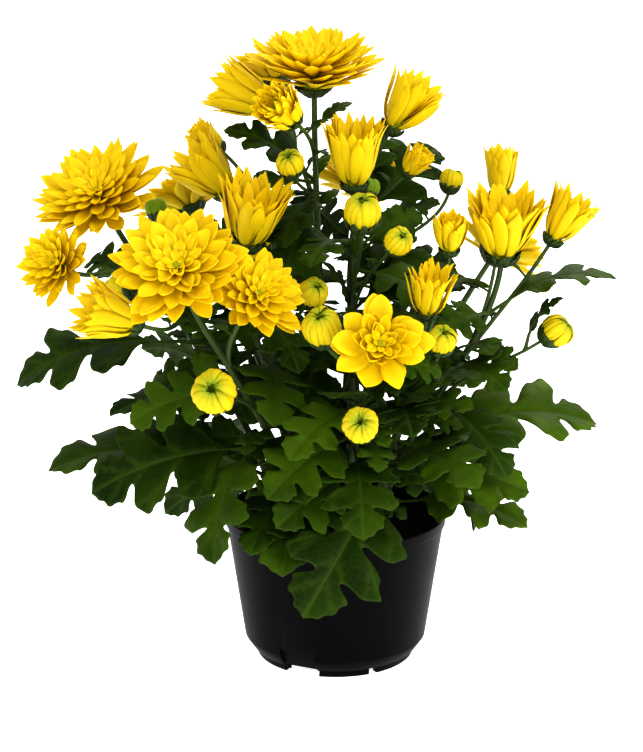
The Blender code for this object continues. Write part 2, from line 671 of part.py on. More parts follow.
def envelope(head):
    """The space that a head takes up, which leaves and stems keep out of."""
    half_width, height = 0.5 * head.size[0], head.size[1]
    if head.form == "bud":
        profile = ((0.45, 0.0), (1.02, 0.3), (1.02, 0.7), (0.3, 1.05))
    elif head.form.endswith("open"):
        profile = ((0.30, 0.0), (0.98, 0.42), (1.02, 0.80), (0.55, 1.05))
    else:
        profile = ((0.36, 0.0), (0.86, 0.36), (1.0, 1.0), (0.4, 1.0))
    bm = bmesh.new()
    matrix = standing(seat_of(head), facing(head))
    loops = []
    for reach, rise in profile:
        loops.append([
            bm.verts.new(matrix @ Vector((
                half_width * reach * math.cos(math.radians(30 * i)),
                half_width * reach * math.sin(math.radians(30 * i)),
                height * rise,
            ))) for i in range(12)
        ])
    for low, high in zip(loops, loops[1:]):
        for i in range(12):
            bm.faces.new((low[i], low[i - 1], high[i - 1], high[i]))
    bm.faces.new(loops[0])
    bm.faces.new(loops[-1])
    bmesh.ops.triangulate(bm, faces=bm.faces)
    tree = BVHTree.FromBMesh(bm)
    bm.free()
    return tree


def leaf_frame(root, azimuth, pitch, roll):
    """The matrix whose X runs along a leaf and whose Z is its upper side."""
    forward = direction(azimuth, pitch)
    side = Vector((0, 0, 1)).cross(forward).normalized()
    up = forward.cross(side)
    turn = Matrix.Rotation(math.radians(roll), 3, forward)
    columns = (forward, turn @ side, turn @ up)
    matrix = Matrix([[c[i] for c in columns] for i in range(3)]).to_4x4()
    return Matrix.Translation(root) @ matrix


def leaf_surface(x, y, length):
    """The point of the bent blade above the flat point (x, y): x runs along the leaf and is 0 at its root."""
    blade_start = PETIOLE_SHARE
    u = max(0.0, x - blade_start) / (1.0 - blade_start)
    bend = LEAF_ARCH * u
    sag = (1.0 - blade_start) * (1.0 - math.cos(bend)) / max(LEAF_ARCH, 1e-6)
    run = min(x, blade_start) + (1.0 - blade_start) * math.sin(bend) / LEAF_ARCH
    rise = LEAF_FOLD * abs(y) - LEAF_LOBE_DROOP * (abs(y) / 0.25) ** 2 * 0.5
    return length * Vector((run + rise * math.sin(bend), y, rise * math.cos(bend) - sag))


def leaf_sheet(leaf_length, skip_petiole=False):
    """The leaf's blade and its stalk as one open surface, in the leaf's frame."""
    span = 1.0 - PETIOLE_SHARE
    rib = [(PETIOLE_SHARE + span * u, 0.0) for u in LEAF_RIB]
    edge = [(PETIOLE_SHARE + span * u, span * v) for u, v in LEAF_OUTLINE]
    if not skip_petiole:
        rib.insert(0, (0.0, 0.0))
        edge = [(0.0, PETIOLE_HALF_WIDTH), (PETIOLE_SHARE, PETIOLE_HALF_WIDTH)] + edge
    bm = bmesh.new()
    spine = [bm.verts.new(Vector((x, y, 0.0))) for x, y in rib]
    for side in (1.0, -1.0):
        border = [bm.verts.new(Vector((x, side * y, 0.0))) for x, y in edge]
        face = bm.faces.new(spine + border[::-1] if side < 0 else [*border, *spine[::-1]])
        face.normal_update()
    bmesh.ops.triangulate(bm, faces=bm.faces)
    for vert in bm.verts:
        vert.co = leaf_surface(vert.co.x, vert.co.y, leaf_length)
    return bm


def thickened_tree(bm, matrix, thick):
    """A search tree of a surface and of its two sides, half a thickness away."""
    bm.normal_update()
    bm.verts.index_update()
    points = []
    faces = []
    for side in (-0.5, 0.0, 0.5):
        start = len(points)
        points += [matrix @ (vert.co + side * thick * vert.normal) for vert in bm.verts]
        faces += [[start + vert.index for vert in face.verts] for face in bm.faces]
    bm.free()
    return BVHTree.FromPolygons(points, faces)


class Space:
    """What already stands in the plant: the shoot that each thing belongs to, its search tree for other
    shoots, and the one for leaves of its own shoot, which may touch a leaf's stalk."""

    def __init__(self):
        self.taken = []

    def add(self, owner, tree, own_tree=None):
        self.taken.append((owner, tree, own_tree or tree))

    def add_object(self, owner, obj):
        bm = bmesh.new()
        bm.from_mesh(evaluated_mesh(obj))
        bm.transform(obj.matrix_world)
        self.add(owner, BVHTree.FromBMesh(bm))
        bm.free()

    def add_leaf(self, owner, length, matrix):
        whole = thickened_tree(leaf_sheet(length), matrix, BLADE_THICK)
        self.add(owner, whole, thickened_tree(leaf_sheet(length, True), matrix, BLADE_THICK))

    def leaf_is_clear(self, owner, length, matrix):
        whole = thickened_tree(leaf_sheet(length), matrix, BLADE_THICK + 2 * LEAF_CLEARANCE)
        blade = thickened_tree(leaf_sheet(length, True), matrix, BLADE_THICK + 2 * LEAF_CLEARANCE)
        for mine, tree, own_tree in self.taken:
            if blade.overlap(own_tree) if mine == owner else whole.overlap(tree):
                return False
        return True


def leaf_moves():
    """Small turns to try for a leaf, as swing and lift in degrees, the smallest first."""
    moves = [(swing, lift) for swing in range(-48, 49, 8) for lift in range(-24, 33, 8)]
    return sorted(moves, key=lambda move: abs(move[0]) + 1.3 * abs(move[1]))


def place_leaf(shoot, stems, leaf, space):
    """Grows a leaf from its stem, turned until it is clear of all that stands there. None if it can't be."""
    root, _ = along(stems[leaf.stem], leaf.along)
    chord = Vector(leaf.tip) - root
    azimuth = math.degrees(math.atan2(chord.y, chord.x))
    pitch = math.degrees(math.asin(chord.z / chord.length)) + LEAF_TIP_DROP
    length = chord.length / LEAF_TIP_REACH
    for swing, lift in leaf_moves():
        matrix = leaf_frame(root, azimuth + swing, pitch + lift, leaf.roll)
        if space.leaf_is_clear(shoot.name, length, matrix):
            space.add_leaf(shoot.name, length, matrix)
            obj = sheet_object("leaf", leaf_sheet(length), BLADE_THICK)
            obj.matrix_world = matrix
            return obj
    return None


def ruled_leaves(shoot, main, rand):
    """Further leaves up the stem, turned by the golden angle about the shoot's own outward side."""
    end = main[-1]
    outward = math.degrees(math.atan2(end.y - shoot.foot[1] * 0.5, end.x - shoot.foot[0] * 0.5))
    leaves = []
    front = -1.0 if shoot.foot[1] > 0.02 else 1.0
    for i in range(shoot.ruled):
        share = 0.28 + 0.56 * (i + 0.5) / shoot.ruled
        azimuth = outward + ((i * GOLDEN_ANGLE + 60.0) % 260.0) - 130.0 + rand.uniform(-8, 8)
        pitch = -62.0 + 46.0 * share + rand.uniform(-6, 6)
        length = 0.092 - 0.032 * share + 0.004 * rand.uniform(-1, 1)
        tip = along(main, share)[0] + length * direction(azimuth, pitch)
        leaves.append(Leaf(share, tip, front * LEAF_ROLL * math.cos(math.radians(azimuth))))
    return leaves


def build_shoots(rand, colour, space):
    """The shoots: first every stem, stalk and calyx, then the leaves, which keep clear of them all."""
    lines = {}
    pieces = {}
    for shoot in SHOOTS:
        main = main_line(shoot)
        lines[shoot.name] = [main]
        made = [tube(*with_calyx(main, tapered(MAIN_RADIUS, MAIN_TAPER, len(main)), shoot.heads[0]))]
        for head in shoot.heads[1:]:
            line = stalk_line(head, main)
            lines[shoot.name].append(line)
            made.append(tube(*with_calyx(line, tapered(stalk_radius(head), STALK_TAPER, len(line)), head)))
        bpy.context.view_layer.update()
        for piece in made:
            space.add_object(shoot.name, piece)
        pieces[shoot.name] = made
    for shoot in SHOOTS:
        for leaf in shoot.leaves:
            obj = place_leaf(shoot, lines[shoot.name], leaf, space)
            if obj:
                pieces[shoot.name].append(obj)
            else:
                print("no room for", shoot.name, leaf)
    for shoot in SHOOTS:
        for leaf in ruled_leaves(shoot, lines[shoot.name][0], rand):
            obj = place_leaf(shoot, lines[shoot.name], leaf, space)
            if obj:
                pieces[shoot.name].append(obj)
            else:
                print("no room for ruled", shoot.name, leaf)
    bpy.context.view_layer.update()
    for shoot in SHOOTS:
        fuse(shoot.name, pieces[shoot.name], colour)


def main():
    clear_scene()
    rand = random.Random(SEED)
    black = material("pot_plastic", (0.012, 0.012, 0.014), 0.38)
    brown = material("soil", (0.035, 0.022, 0.015), 0.95)
    green = material("foliage", (0.045, 0.115, 0.012), 0.55)
    yellow = material("petals", (0.90, 0.62, 0.01), 0.60)
    space = Space()
    pot = build_pot(black)
    soil = build_soil(brown)
    bpy.context.view_layer.update()
    space.add_object("pot", pot)
    space.add_object("soil", soil)
    for shoot in SHOOTS:
        for head in shoot.heads:
            build_head(head, rand, yellow)
            space.add("heads", envelope(head))
    build_shoots(rand, green, space)


main()
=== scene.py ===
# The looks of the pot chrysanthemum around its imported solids. Metres, +Z up, in the frame of the solids.
import math
import random
from collections import namedtuple

import bmesh
import bpy
import numpy as np
from mathutils import Matrix, Vector, geometry
from mathutils.bvhtree import BVHTree
from mathutils.kdtree import KDTree


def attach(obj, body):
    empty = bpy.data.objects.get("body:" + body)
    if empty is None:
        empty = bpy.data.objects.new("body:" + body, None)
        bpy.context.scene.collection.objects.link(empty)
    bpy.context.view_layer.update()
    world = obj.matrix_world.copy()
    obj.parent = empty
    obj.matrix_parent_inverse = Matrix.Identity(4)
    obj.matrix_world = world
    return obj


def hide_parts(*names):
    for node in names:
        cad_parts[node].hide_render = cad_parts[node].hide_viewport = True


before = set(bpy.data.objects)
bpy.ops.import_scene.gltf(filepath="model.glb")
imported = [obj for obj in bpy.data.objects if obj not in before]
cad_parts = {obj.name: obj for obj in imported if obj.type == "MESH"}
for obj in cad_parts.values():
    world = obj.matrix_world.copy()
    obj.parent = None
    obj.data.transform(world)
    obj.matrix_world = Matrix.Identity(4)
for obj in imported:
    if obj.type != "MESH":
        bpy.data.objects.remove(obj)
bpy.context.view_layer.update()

# The plant's plan, the same as in the source of the solids
SEED = 11
STEM_FOOT = 0.0560
STEM_RISE = 0.0800
MAIN_RADIUS = 0.0023
STALK_RADIUS = 0.0015
MAIN_TAPER = 0.65
STALK_TAPER = 0.8
MAIN_STEPS = 4
STALK_STEPS = 3
CALYX_DEPTH = 0.70
SEAT_GAP = 0.0003
GOLDEN_ANGLE = 137.5
PETIOLE_SHARE = 0.24

Head = namedtuple("Head", "name form at size lean_to lean fork")
Leaf = namedtuple("Leaf", "along tip roll stem", defaults=(0,))
Shoot = namedtuple("Shoot", "name foot heads leaves ruled")

SHOOTS = (
    Shoot("shoot_crown", (-0.004, 0.006), (
        Head("bloom_crown", "open", (-0.012, 0.000, 0.3385), (0.0784, 0.0260), 270, 14, 1.0),
        Head("bloom_small_top", "button", (-0.030, -0.050, 0.325), (0.0297, 0.0250), 235, 58, 0.80),
        Head("bloom_back_crown", "small open", (-0.036, 0.064, 0.3295), (0.0615, 0.0187), 120, 22, 0.72),
        Head("bud_under_crown", "bud", (-0.025, -0.030, 0.2927), (0.0144, 0.0130), 250, 35, 0.76),
    ), (
        Leaf(0.92, (0.010, 0.008, 0.319), 20),
        Leaf(0.82, (-0.063, 0.002, 0.302), -30),
        Leaf(0.78, (-0.040, -0.052, 0.236), -10),
        Leaf(0.70, (0.024, 0.004, 0.228), 30),
        Leaf(0.78, (-0.006, 0.044, 0.229), -60),
        Leaf(0.82, (-0.045, -0.004, 0.273), -20),
    ), 3),
    Shoot("shoot_upper_left", (-0.021, 0.013), (
        Head("bloom_upper_left", "cup", (-0.072, 0.014, 0.281), (0.0414, 0.0333), 190, 42, 1.0),
        Head("bloom_top_left", "cup", (-0.053, 0.024, 0.323), (0.0360, 0.0354), 185, 66, 0.74),
        Head("bloom_far_left", "button", (-0.0745, 0.050, 0.2935), (0.0212, 0.0208), 178, 50, 0.66),
    ), (
        Leaf(0.74, (-0.050, -0.020, 0.232), -20),
    ), 2),
    Shoot("shoot_left", (-0.032, -0.006), (
        Head("bloom_left", "open", (-0.132, 0.004, 0.268), (0.0784, 0.0230), 240, 36, 1.0),
        Head("bloom_left_side", "small open", (-0.149, -0.056, 0.2417), (0.0456, 0.0187), 236, 62, 0.74),
        Head("bloom_left_low", "cup", (-0.119, -0.085, 0.222), (0.0360, 0.0312), 198, 66, 0.62),
        Head("bud_left", "bud", (-0.102, 0.022, 0.258), (0.0111, 0.0104), 120, 14, 0.70),
    ), (
        Leaf(0.62, (-0.180, -0.006, 0.156), -20),
        Leaf(0.46, (-0.127, -0.022, 0.148), 0),
        Leaf(0.30, (-0.162, -0.024, 0.114), -8),
        Leaf(0.80, (-0.148, -0.004, 0.227), 60),
        Leaf(0.54, (-0.101, 0.064, 0.158), 60),
    ), 1),
    Shoot("shoot_front_left", (-0.018, -0.028), (
        Head("bloom_front_left", "open", (-0.082, -0.100, 0.249), (0.0742, 0.0229), 262, 46, 1.0),
        Head("bloom_front", "small open", (-0.042, -0.076, 0.230), (0.0572, 0.0187), 292, 52, 0.66),
        Head("bud_front_left", "bud", (-0.063, -0.122, 0.190), (0.0223, 0.0198), 262, 62, 0.50),
    ), (
        Leaf(0.44, (-0.131, -0.066, 0.108), -36),
        Leaf(0.48, (-0.073, -0.096, 0.087), 20),
        Leaf(0.32, (-0.043, -0.091, 0.089), -10),
        Leaf(0.62, (-0.106, -0.074, 0.150), -40),
        Leaf(0.40, (-0.084, -0.011, 0.084), 60),
    ), 0),
    Shoot("shoot_middle_left", (-0.012, -0.010), (
        Head("bloom_middle_left", "cup", (-0.0455, -0.036, 0.2655), (0.0436, 0.0374), 300, 20, 1.0),
        Head("bud_middle_left", "bud", (-0.0125, -0.050, 0.2257), (0.0156, 0.0140), 300, 42, 0.58),
    ), (
        Leaf(0.30, (-0.029, -0.100, 0.081), 0),
        Leaf(0.48, (-0.020, -0.090, 0.118), 8),
        Leaf(0.66, (-0.056, -0.084, 0.160), -16),
        Leaf(0.82, (-0.020, -0.072, 0.186), 0),
    ), 0),
    Shoot("shoot_front", (0.005, -0.030), (
        Head("bloom_front_right", "small open", (0.022, -0.104, 0.210), (0.0572, 0.0187), 275, 60, 1.0),
        Head("bud_opening_front", "bud", (-0.008, -0.086, 0.215), (0.0180, 0.0182), 250, 30, 0.74),
        Head("bud_front_low", "bud", (0.012, -0.124, 0.173), (0.0180, 0.0161), 268, 58, 0.62),
    ), (
        Leaf(0.42, (-0.001, -0.106, 0.101), -40),
        Leaf(0.50, (0.004, -0.118, 0.108), 0),
        Leaf(0.68, (-0.020, -0.112, 0.148), -16),
    ), 1),
    Shoot("shoot_middle", (0.008, -0.010), (
        Head("bloom_middle", "cup", (0.010, -0.020, 0.296), (0.0392, 0.0374), 270, 12, 1.0),
        Head("bud_middle_front", "bud", (0.014, -0.050, 0.270), (0.0212, 0.0172), 270, 24, 0.72),
        Head("bud_middle_back", "bud", (0.019, 0.010, 0.272), (0.0106, 0.0099), 60, 20, 0.70),
        Head("bud_middle_right", "bud", (0.033, -0.056, 0.255), (0.0144, 0.0135), 300, 50, 0.66),
    ), (
        Leaf(0.80, (0.052, -0.046, 0.214), 20),
        Leaf(0.66, (-0.001, 0.011, 0.231), 50),
        Leaf(0.62, (0.040, -0.078, 0.176), 14),
        Leaf(0.56, (0.031, -0.046, 0.133), -40),
    ), 1),
    Shoot("shoot_upper_right", (0.016, 0.012), (
        Head("bloom_top_right", "cup", (0.040, 0.021, 0.3175), (0.0360, 0.0340), 350, 33, 1.0),
        Head("bud_opening_right", "button", (0.045, 0.010, 0.287), (0.0191, 0.0177), 340, 40, 0.74),
        Head("bud_upper_right", "bud", (0.066, 0.030, 0.273), (0.0127, 0.0116), 20, 12, 0.64),
    ), (
        Leaf(0.78, (0.074, 0.042, 0.280), 46),
        Leaf(0.86, (0.032, 0.058, 0.296), 30),
        Leaf(0.66, (0.062, 0.006, 0.240), 30),
        Leaf(0.72, (0.059, 0.055, 0.250), -50),
        Leaf(0.60, (0.058, 0.012, 0.224), 40),
    ), 1),
    Shoot("shoot_right", (0.026, -0.002), (
        Head("bloom_right", "cup", (0.093, -0.010, 0.254), (0.0509, 0.0374), 275, 14, 1.0),
        Head("bloom_right_outer", "cup", (0.129, 0.004, 0.256), (0.0330, 0.0302), 352, 30, 0.62),
        Head("bloom_right_back", "tulip", (0.095, 0.048, 0.275), (0.0223, 0.0281), 90, 6, 0.66),
        Head("bud_right", "bud", (0.123, -0.020, 0.197), (0.0167, 0.0156), 342, 52, 0.50),
    ), (
        Leaf(0.82, (0.158, 0.000, 0.222), 0),
        Leaf(0.84, (0.124, -0.026, 0.215), 30, 3),
        Leaf(0.42, (0.152, 0.000, 0.131), 20),
        Leaf(0.24, (0.106, -0.040, 0.086), 10),
        Leaf(0.68, (0.086, -0.052, 0.168), 24),
        Leaf(0.72, (0.096, -0.026, 0.172), 40),
        Leaf(0.78, (0.060, -0.012, 0.200), -30),
    ), 1),
    Shoot("shoot_front_right", (0.024, -0.022), (
        Head("bloom_right_front", "cup", (0.050, -0.060, 0.228), (0.0286, 0.0281), 292, 18, 1.0),
        Head("bud_tulip_right", "tulip", (0.062, -0.030, 0.254), (0.0212, 0.0224), 270, 16, 0.74),
        Head("bud_front_right", "bud", (0.056, -0.077, 0.206), (0.0148, 0.0135), 285, 30, 0.66),
    ), (
        Leaf(0.48, (0.070, -0.098, 0.128), 16),
        Leaf(0.42, (0.000, -0.116, 0.057), -30),
        Leaf(0.38, (0.104, -0.054, 0.104), 34),
        Leaf(0.64, (0.036, -0.104, 0.160), 10),
    ), 0),
    Shoot("shoot_back_left", (-0.022, 0.030), (
        Head("bloom_back_left", "open", (-0.088, 0.078, 0.252), (0.0678, 0.0198), 138, 34, 1.0),
        Head("bloom_back_left_low", "cup", (-0.046, 0.122, 0.208), (0.0360, 0.0312), 105, 44, 0.66),
        Head("bud_back_left", "bud", (-0.126, 0.056, 0.205), (0.0170, 0.0156), 160, 48, 0.60),
    ), (
        Leaf(0.34, (-0.104, 0.070, 0.094), 40),
        Leaf(0.44, (-0.052, 0.118, 0.106), 10),
    ), 2),
    Shoot("shoot_back", (0.004, 0.033), (
        Head("bloom_back", "open", (0.018, 0.102, 0.258), (0.0657, 0.0198), 78, 38, 1.0),
        Head("bud_back", "bud", (-0.010, 0.124, 0.168), (0.0170, 0.0156), 96, 56, 0.56),
    ), (
        Leaf(0.30, (0.000, 0.110, 0.072), 0),
        Leaf(0.56, (0.006, 0.108, 0.160), 0),
    ), 3),
    Shoot("shoot_back_right", (0.027, 0.026), (
        Head("bloom_back_right", "small open", (0.098, 0.084, 0.222), (0.0636, 0.0187), 42, 46, 1.0),
        Head("bloom_back_right_low", "cup", (0.056, 0.124, 0.190), (0.0339, 0.0302), 64, 52, 0.62),
    ), (
        Leaf(0.34, (0.104, 0.068, 0.100), -40),
        Leaf(0.44, (0.058, 0.114, 0.108), -10),
    ), 2),
)

CAD_RING_PETALS = {"open": 27, "small open": 23, "button": 15, "cup": 13, "tulip": 11, "bud": 0}
CALYX_SHARE = {"open": 0.115, "small open": 0.125, "button": 0.22, "cup": 0.17, "tulip": 0.24, "bud": 0.36}
MIDDLE_SHARE = {"open": 0.35, "small open": 0.35, "button": 0.50, "cup": 0.50, "tulip": 0.50, "bud": 0.50}
LEAF_ROLL = 34.0
LEAF_TIP_DROP = 19.5
LEAF_TIP_REACH = 0.956
LEAF_FOLD = 0.22
LEAF_ARCH = 0.9
LEAF_LOBE_DROOP = 0.10
CAD_LEAF_OUTLINE = ((0.13, 0.140), (0.38, 0.360), (0.43, 0.150), (0.66, 0.340), (0.72, 0.150), (0.89, 0.150))


# Small tools

def unit(vectors):
    return vectors / np.maximum(np.linalg.norm(vectors, axis=-1, keepdims=True), 1e-12)


def direction(azimuth, elevation):
    """The unit vector at an azimuth and an elevation in degrees."""
    a, e = math.radians(azimuth), math.radians(elevation)
    return Vector((math.cos(a) * math.cos(e), math.sin(a) * math.cos(e), math.sin(e)))


def bezier(p0, p1, p2, p3, steps):
    """Points along a cubic curve."""
    points = []
    for i in range(steps + 1):
        t = i / steps
        s = 1.0 - t
        points.append(s**3 * p0 + 3 * s * s * t * p1 + 3 * s * t * t * p2 + t**3 * p3)
    return points


def along(points, share):
    """The point at a share of a polyline's steps, and the direction there."""
    place = share * (len(points) - 1)
    i = min(int(place), len(points) - 2)
    step = points[i + 1] - points[i]
    return points[i] + (place - i) * step, step.normalized()


def facing(head):
    return direction(head.lean_to, 90.0 - head.lean)


def seat_of(head):
    return Vector(head.at) - MIDDLE_SHARE[head.form] * head.size[1] * facing(head)


def standing(place, axis, turn=0.0):
    """The matrix that puts +Z along axis and the origin at place."""
    turned_to = axis.to_track_quat("Z", "Y").to_matrix().to_4x4()
    return Matrix.Translation(place) @ turned_to @ Matrix.Rotation(turn, 4, "Z")


def placed(matrix, points):
    """Points moved by a matrix, as an array of the same shape."""
    m = np.array(matrix)
    return points @ m[:3, :3].T + m[:3, 3]


def jitter(rand, base, amount, count):
    return base + rand.uniform(-1, 1, count) * amount


def link(name, data):
    """A new object with its data, in the scene."""
    obj = bpy.data.objects.new(name, data)
    bpy.context.scene.collection.objects.link(obj)
    return obj


def dress(obj, material, node):
    """Gives a piece its material and slot, and lets it stand in for a node of the solids."""
    obj.data.polygons.foreach_set("use_smooth", [True] * len(obj.data.polygons))
    obj.data.materials.clear()
    obj.data.materials.append(MATERIALS[material])
    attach(obj, "root")
    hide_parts(node)


class Gather:
    """Collects closed shells, with values at their points, into one mesh."""

    def __init__(self):
        self.points = []
        self.faces = []
        self.values = {}
        self.count = 0

    def add(self, points, faces, **values):
        """Adds a shell. Each value is a number or a vector for the whole of it, or one for each point."""
        points = np.asarray(points, float).reshape(-1, 3)
        self.points.append(points)
        if isinstance(faces, np.ndarray):
            self.faces.extend((faces + self.count).tolist())
        else:
            self.faces.extend([[i + self.count for i in face] for face in faces])
        for name, value in values.items():
            value = np.asarray(value, float)
            if value.size in (1, 3):
                value = np.tile(value.reshape(1, -1), (len(points), 1))
            self.values.setdefault(name, []).append(value.reshape(len(points), -1))
        self.count += len(points)

    def make(self, name, material, node):
        mesh = bpy.data.meshes.new(name)
        mesh.from_pydata(np.concatenate(self.points).tolist(), [], self.faces)
        for key, parts in self.values.items():
            flat = np.concatenate(parts)
            kind, field = ("FLOAT_VECTOR", "vector") if flat.shape[1] == 3 else ("FLOAT", "value")
            layer = mesh.attributes.new(key, kind, "POINT")
            layer.data.foreach_set(field, flat.astype(np.float32).ravel())
        mesh.update()
        dress(link(name, mesh), material, node)


def grid_faces(rows, columns):
    """The faces of a closed shell made of two grids of points, its upper one first."""
    at = np.arange(rows * columns).reshape(rows, columns)
    quads = np.stack((at[:-1, :-1], at[1:, :-1], at[1:, 1:], at[:-1, 1:]), -1).reshape(-1, 4)
    under = quads[:, ::-1] + rows * columns
    rim = np.concatenate((at[0, :-1], at[:-1, -1], at[-1, :0:-1], at[:0:-1, 0]))
    after = np.roll(rim, -1)
    edge = np.stack((rim, after, after + rows * columns, rim + rows * columns), -1)
    return np.concatenate((quads, under, edge))


def ring_faces(rings, around, down=False):
    """The faces of a closed shell made of a point, rings of points up from it (or down), and a point."""
    faces = []
    last = rings * around + 1
    for step in range(around):
        j, k = step, (step + 1) % around
        if down:
            j, k = k, j
        faces.append((0, 1 + k, 1 + j))
        for low in range(1, last - around, around):
            high = low + around
            quad = (low + j, low + k, high + k, high + j)
            # A quad splits from its first corner, so this keeps the split the same both ways
            faces.append(quad[1:] + quad[:1] if down else quad)
        faces.append((last - around + j, last - around + k, last))
    return faces


def turned(profile, around, ripple=0.0, lobes=5, down=False):
    """A closed solid turned about Z: its points and faces. The profile is radius and height from one end on
    the axis to the other. ripple is how far the sides go in and out."""
    points = [(0.0, 0.0, profile[0][1])]
    for i, (r, z) in enumerate(profile[1:-1]):
        for j in range(around):
            a = 2 * math.pi * j / around
            q = r * (1.0 + ripple * math.cos(lobes * a + 1.7 * i))
            points.append((q * math.cos(a), q * math.sin(a), z))
    points.append((0.0, 0.0, profile[-1][1]))
    return np.array(points), ring_faces(len(profile) - 2, around, down)


# Petals

PETAL_ROWS = np.array((0.0, 0.16, 0.33, 0.50, 0.66, 0.80, 0.90, 0.965, 1.0))
PETAL_COLUMNS = np.linspace(-1.0, 1.0, 5)
PETAL_THICKNESS = 0.0005
PETAL_WIDEST = 0.66
PETAL_FOOT_WIDTH = 0.34
PETAL_LEAST_WIDTH = 0.10
PETAL_FLUTE = 0.05
PETAL_CORNERS_BACK = 0.22


def petal_width(run, point):
    """How wide a petal is along its run, as a share of its widest place. point is 0 for round and 1 for
    pointed."""
    swell = np.sin(0.5 * np.pi * np.clip(run / PETAL_WIDEST, 0, 1)) ** 1.1
    past = np.clip((run - PETAL_WIDEST) / (1.0 - PETAL_WIDEST), 0, 1)
    fall = (1.0 - past**2.2) ** (0.5 + 0.55 * point)
    return (PETAL_FOOT_WIDTH + (1.0 - PETAL_FOOT_WIDTH) * swell) * np.maximum(fall, PETAL_LEAST_WIDTH)


def add_petals(gather, matrix, plan, rand, thick=PETAL_THICKNESS, rows=PETAL_ROWS, columns=PETAL_COLUMNS):
    """Adds petals as thin closed shells. The plan has one number for each petal, or one for all of them:
    azimuth; r0 z0 r1 z1, where it starts and ends, out from the head's axis and up along it; e0 e1, its
    elevation there; pull, how far it keeps to them, as a share of its length; width (half), cup, roll, bend,
    point and depth; and green0 green1 leafy, how green its two ends and the whole of it are."""
    count = len(plan["azimuth"])
    each = np.ones((count, 1, 1))
    c = {k: np.asarray(value, float).reshape(-1, 1, 1) * each for k, value in {"leafy": 0.0, **plan}.items()}
    u = rows.reshape(1, -1, 1)
    v = columns.reshape(1, 1, -1)
    span = np.hypot(c["r1"] - c["r0"], c["z1"] - c["z0"])
    pull = c["pull"] * span
    r = [c["r0"], c["r0"] + pull * np.cos(c["e0"]), c["r1"] - pull * np.cos(c["e1"]), c["r1"]]
    z = [c["z0"], c["z0"] + pull * np.sin(c["e0"]), c["z1"] - pull * np.sin(c["e1"]), c["z1"]]
    blend = [(1 - u) ** 3, 3 * u * (1 - u) ** 2, 3 * u * u * (1 - u), u**3]
    slope = [3 * (1 - u) ** 2, 6 * u * (1 - u), 3 * u * u]
    middle_r, middle_z = (sum(a * b for a, b in zip(blend, line)) for line in (r, z))
    ahead_r, ahead_z = (sum(s * (line[i + 1] - line[i]) for i, s in enumerate(slope)) for line in (r, z))
    size = np.maximum(np.hypot(ahead_r, ahead_z), 1e-9)
    ahead_r, ahead_z = ahead_r / size, ahead_z / size

    width = c["width"] * petal_width(u, c["point"])
    roll = c["roll"] * u
    flute = PETAL_FLUTE * width * np.cos(3.0 * np.pi * v) * (1 - v * v)
    lift = v * width * np.sin(roll) + c["cup"] * width * v * v - flute
    back = -PETAL_CORNERS_BACK * width * v * v * u**2
    aside = v * width * np.cos(roll) + c["bend"] * span * u * u
    out = middle_r - ahead_z * lift + ahead_r * back
    up = middle_z + ahead_r * lift + ahead_z * back
    turn = c["azimuth"]
    x = out * np.cos(turn) - aside * np.sin(turn)
    y = out * np.sin(turn) + aside * np.cos(turn)
    middle = np.stack(np.broadcast_arrays(x, y, up), -1)
    normal = unit(np.cross(np.gradient(middle, axis=-3), np.gradient(middle, axis=-2)))
    half = (0.5 * thick * (1.0 - 0.45 * v * v) * (1.0 - 0.35 * u) * each)[..., None]
    both = np.stack((middle + normal * half, middle - normal * half), 1)

    shape = both.shape[:-1]
    first = np.arange(count) * shape[1] * shape[2] * shape[3]
    faces = (grid_faces(len(rows), len(columns))[None] + first[:, None, None]).reshape(-1, 4)
    tone = rand.uniform(-1, 1, count).reshape(-1, 1, 1, 1)
    green = np.maximum(c["leafy"], c["green0"] * (1 - u) ** 2 + c["green1"] * u**4)
    marks = [np.broadcast_to(a, shape) for a in (u[:, None], v[:, None], tone)]
    gather.add(
        placed(matrix, both.reshape(-1, 3)), faces,
        petal=np.stack(marks, -1).reshape(-1, 3),
        depth=np.broadcast_to(c["depth"][:, None], shape).reshape(-1),
        green=np.broadcast_to(green[:, None], shape).reshape(-1),
    )


def add_core(gather, matrix, profile, radius, height, around=20, ripple=0.0, lobes=5, depth=0.5, green=0.0):
    """A turned solid among petals or bracts, its profile in shares of a radius and a height."""
    points, faces = turned([(r * radius, z * height) for r, z in profile], around, ripple, lobes)
    run = (points[:, 2] - points[:, 2].min()) / np.ptp(points[:, 2])
    gather.add(placed(matrix, points), faces, petal=np.outer(run, (1, 0, 0)), depth=depth, green=green)


# Flower heads and buds

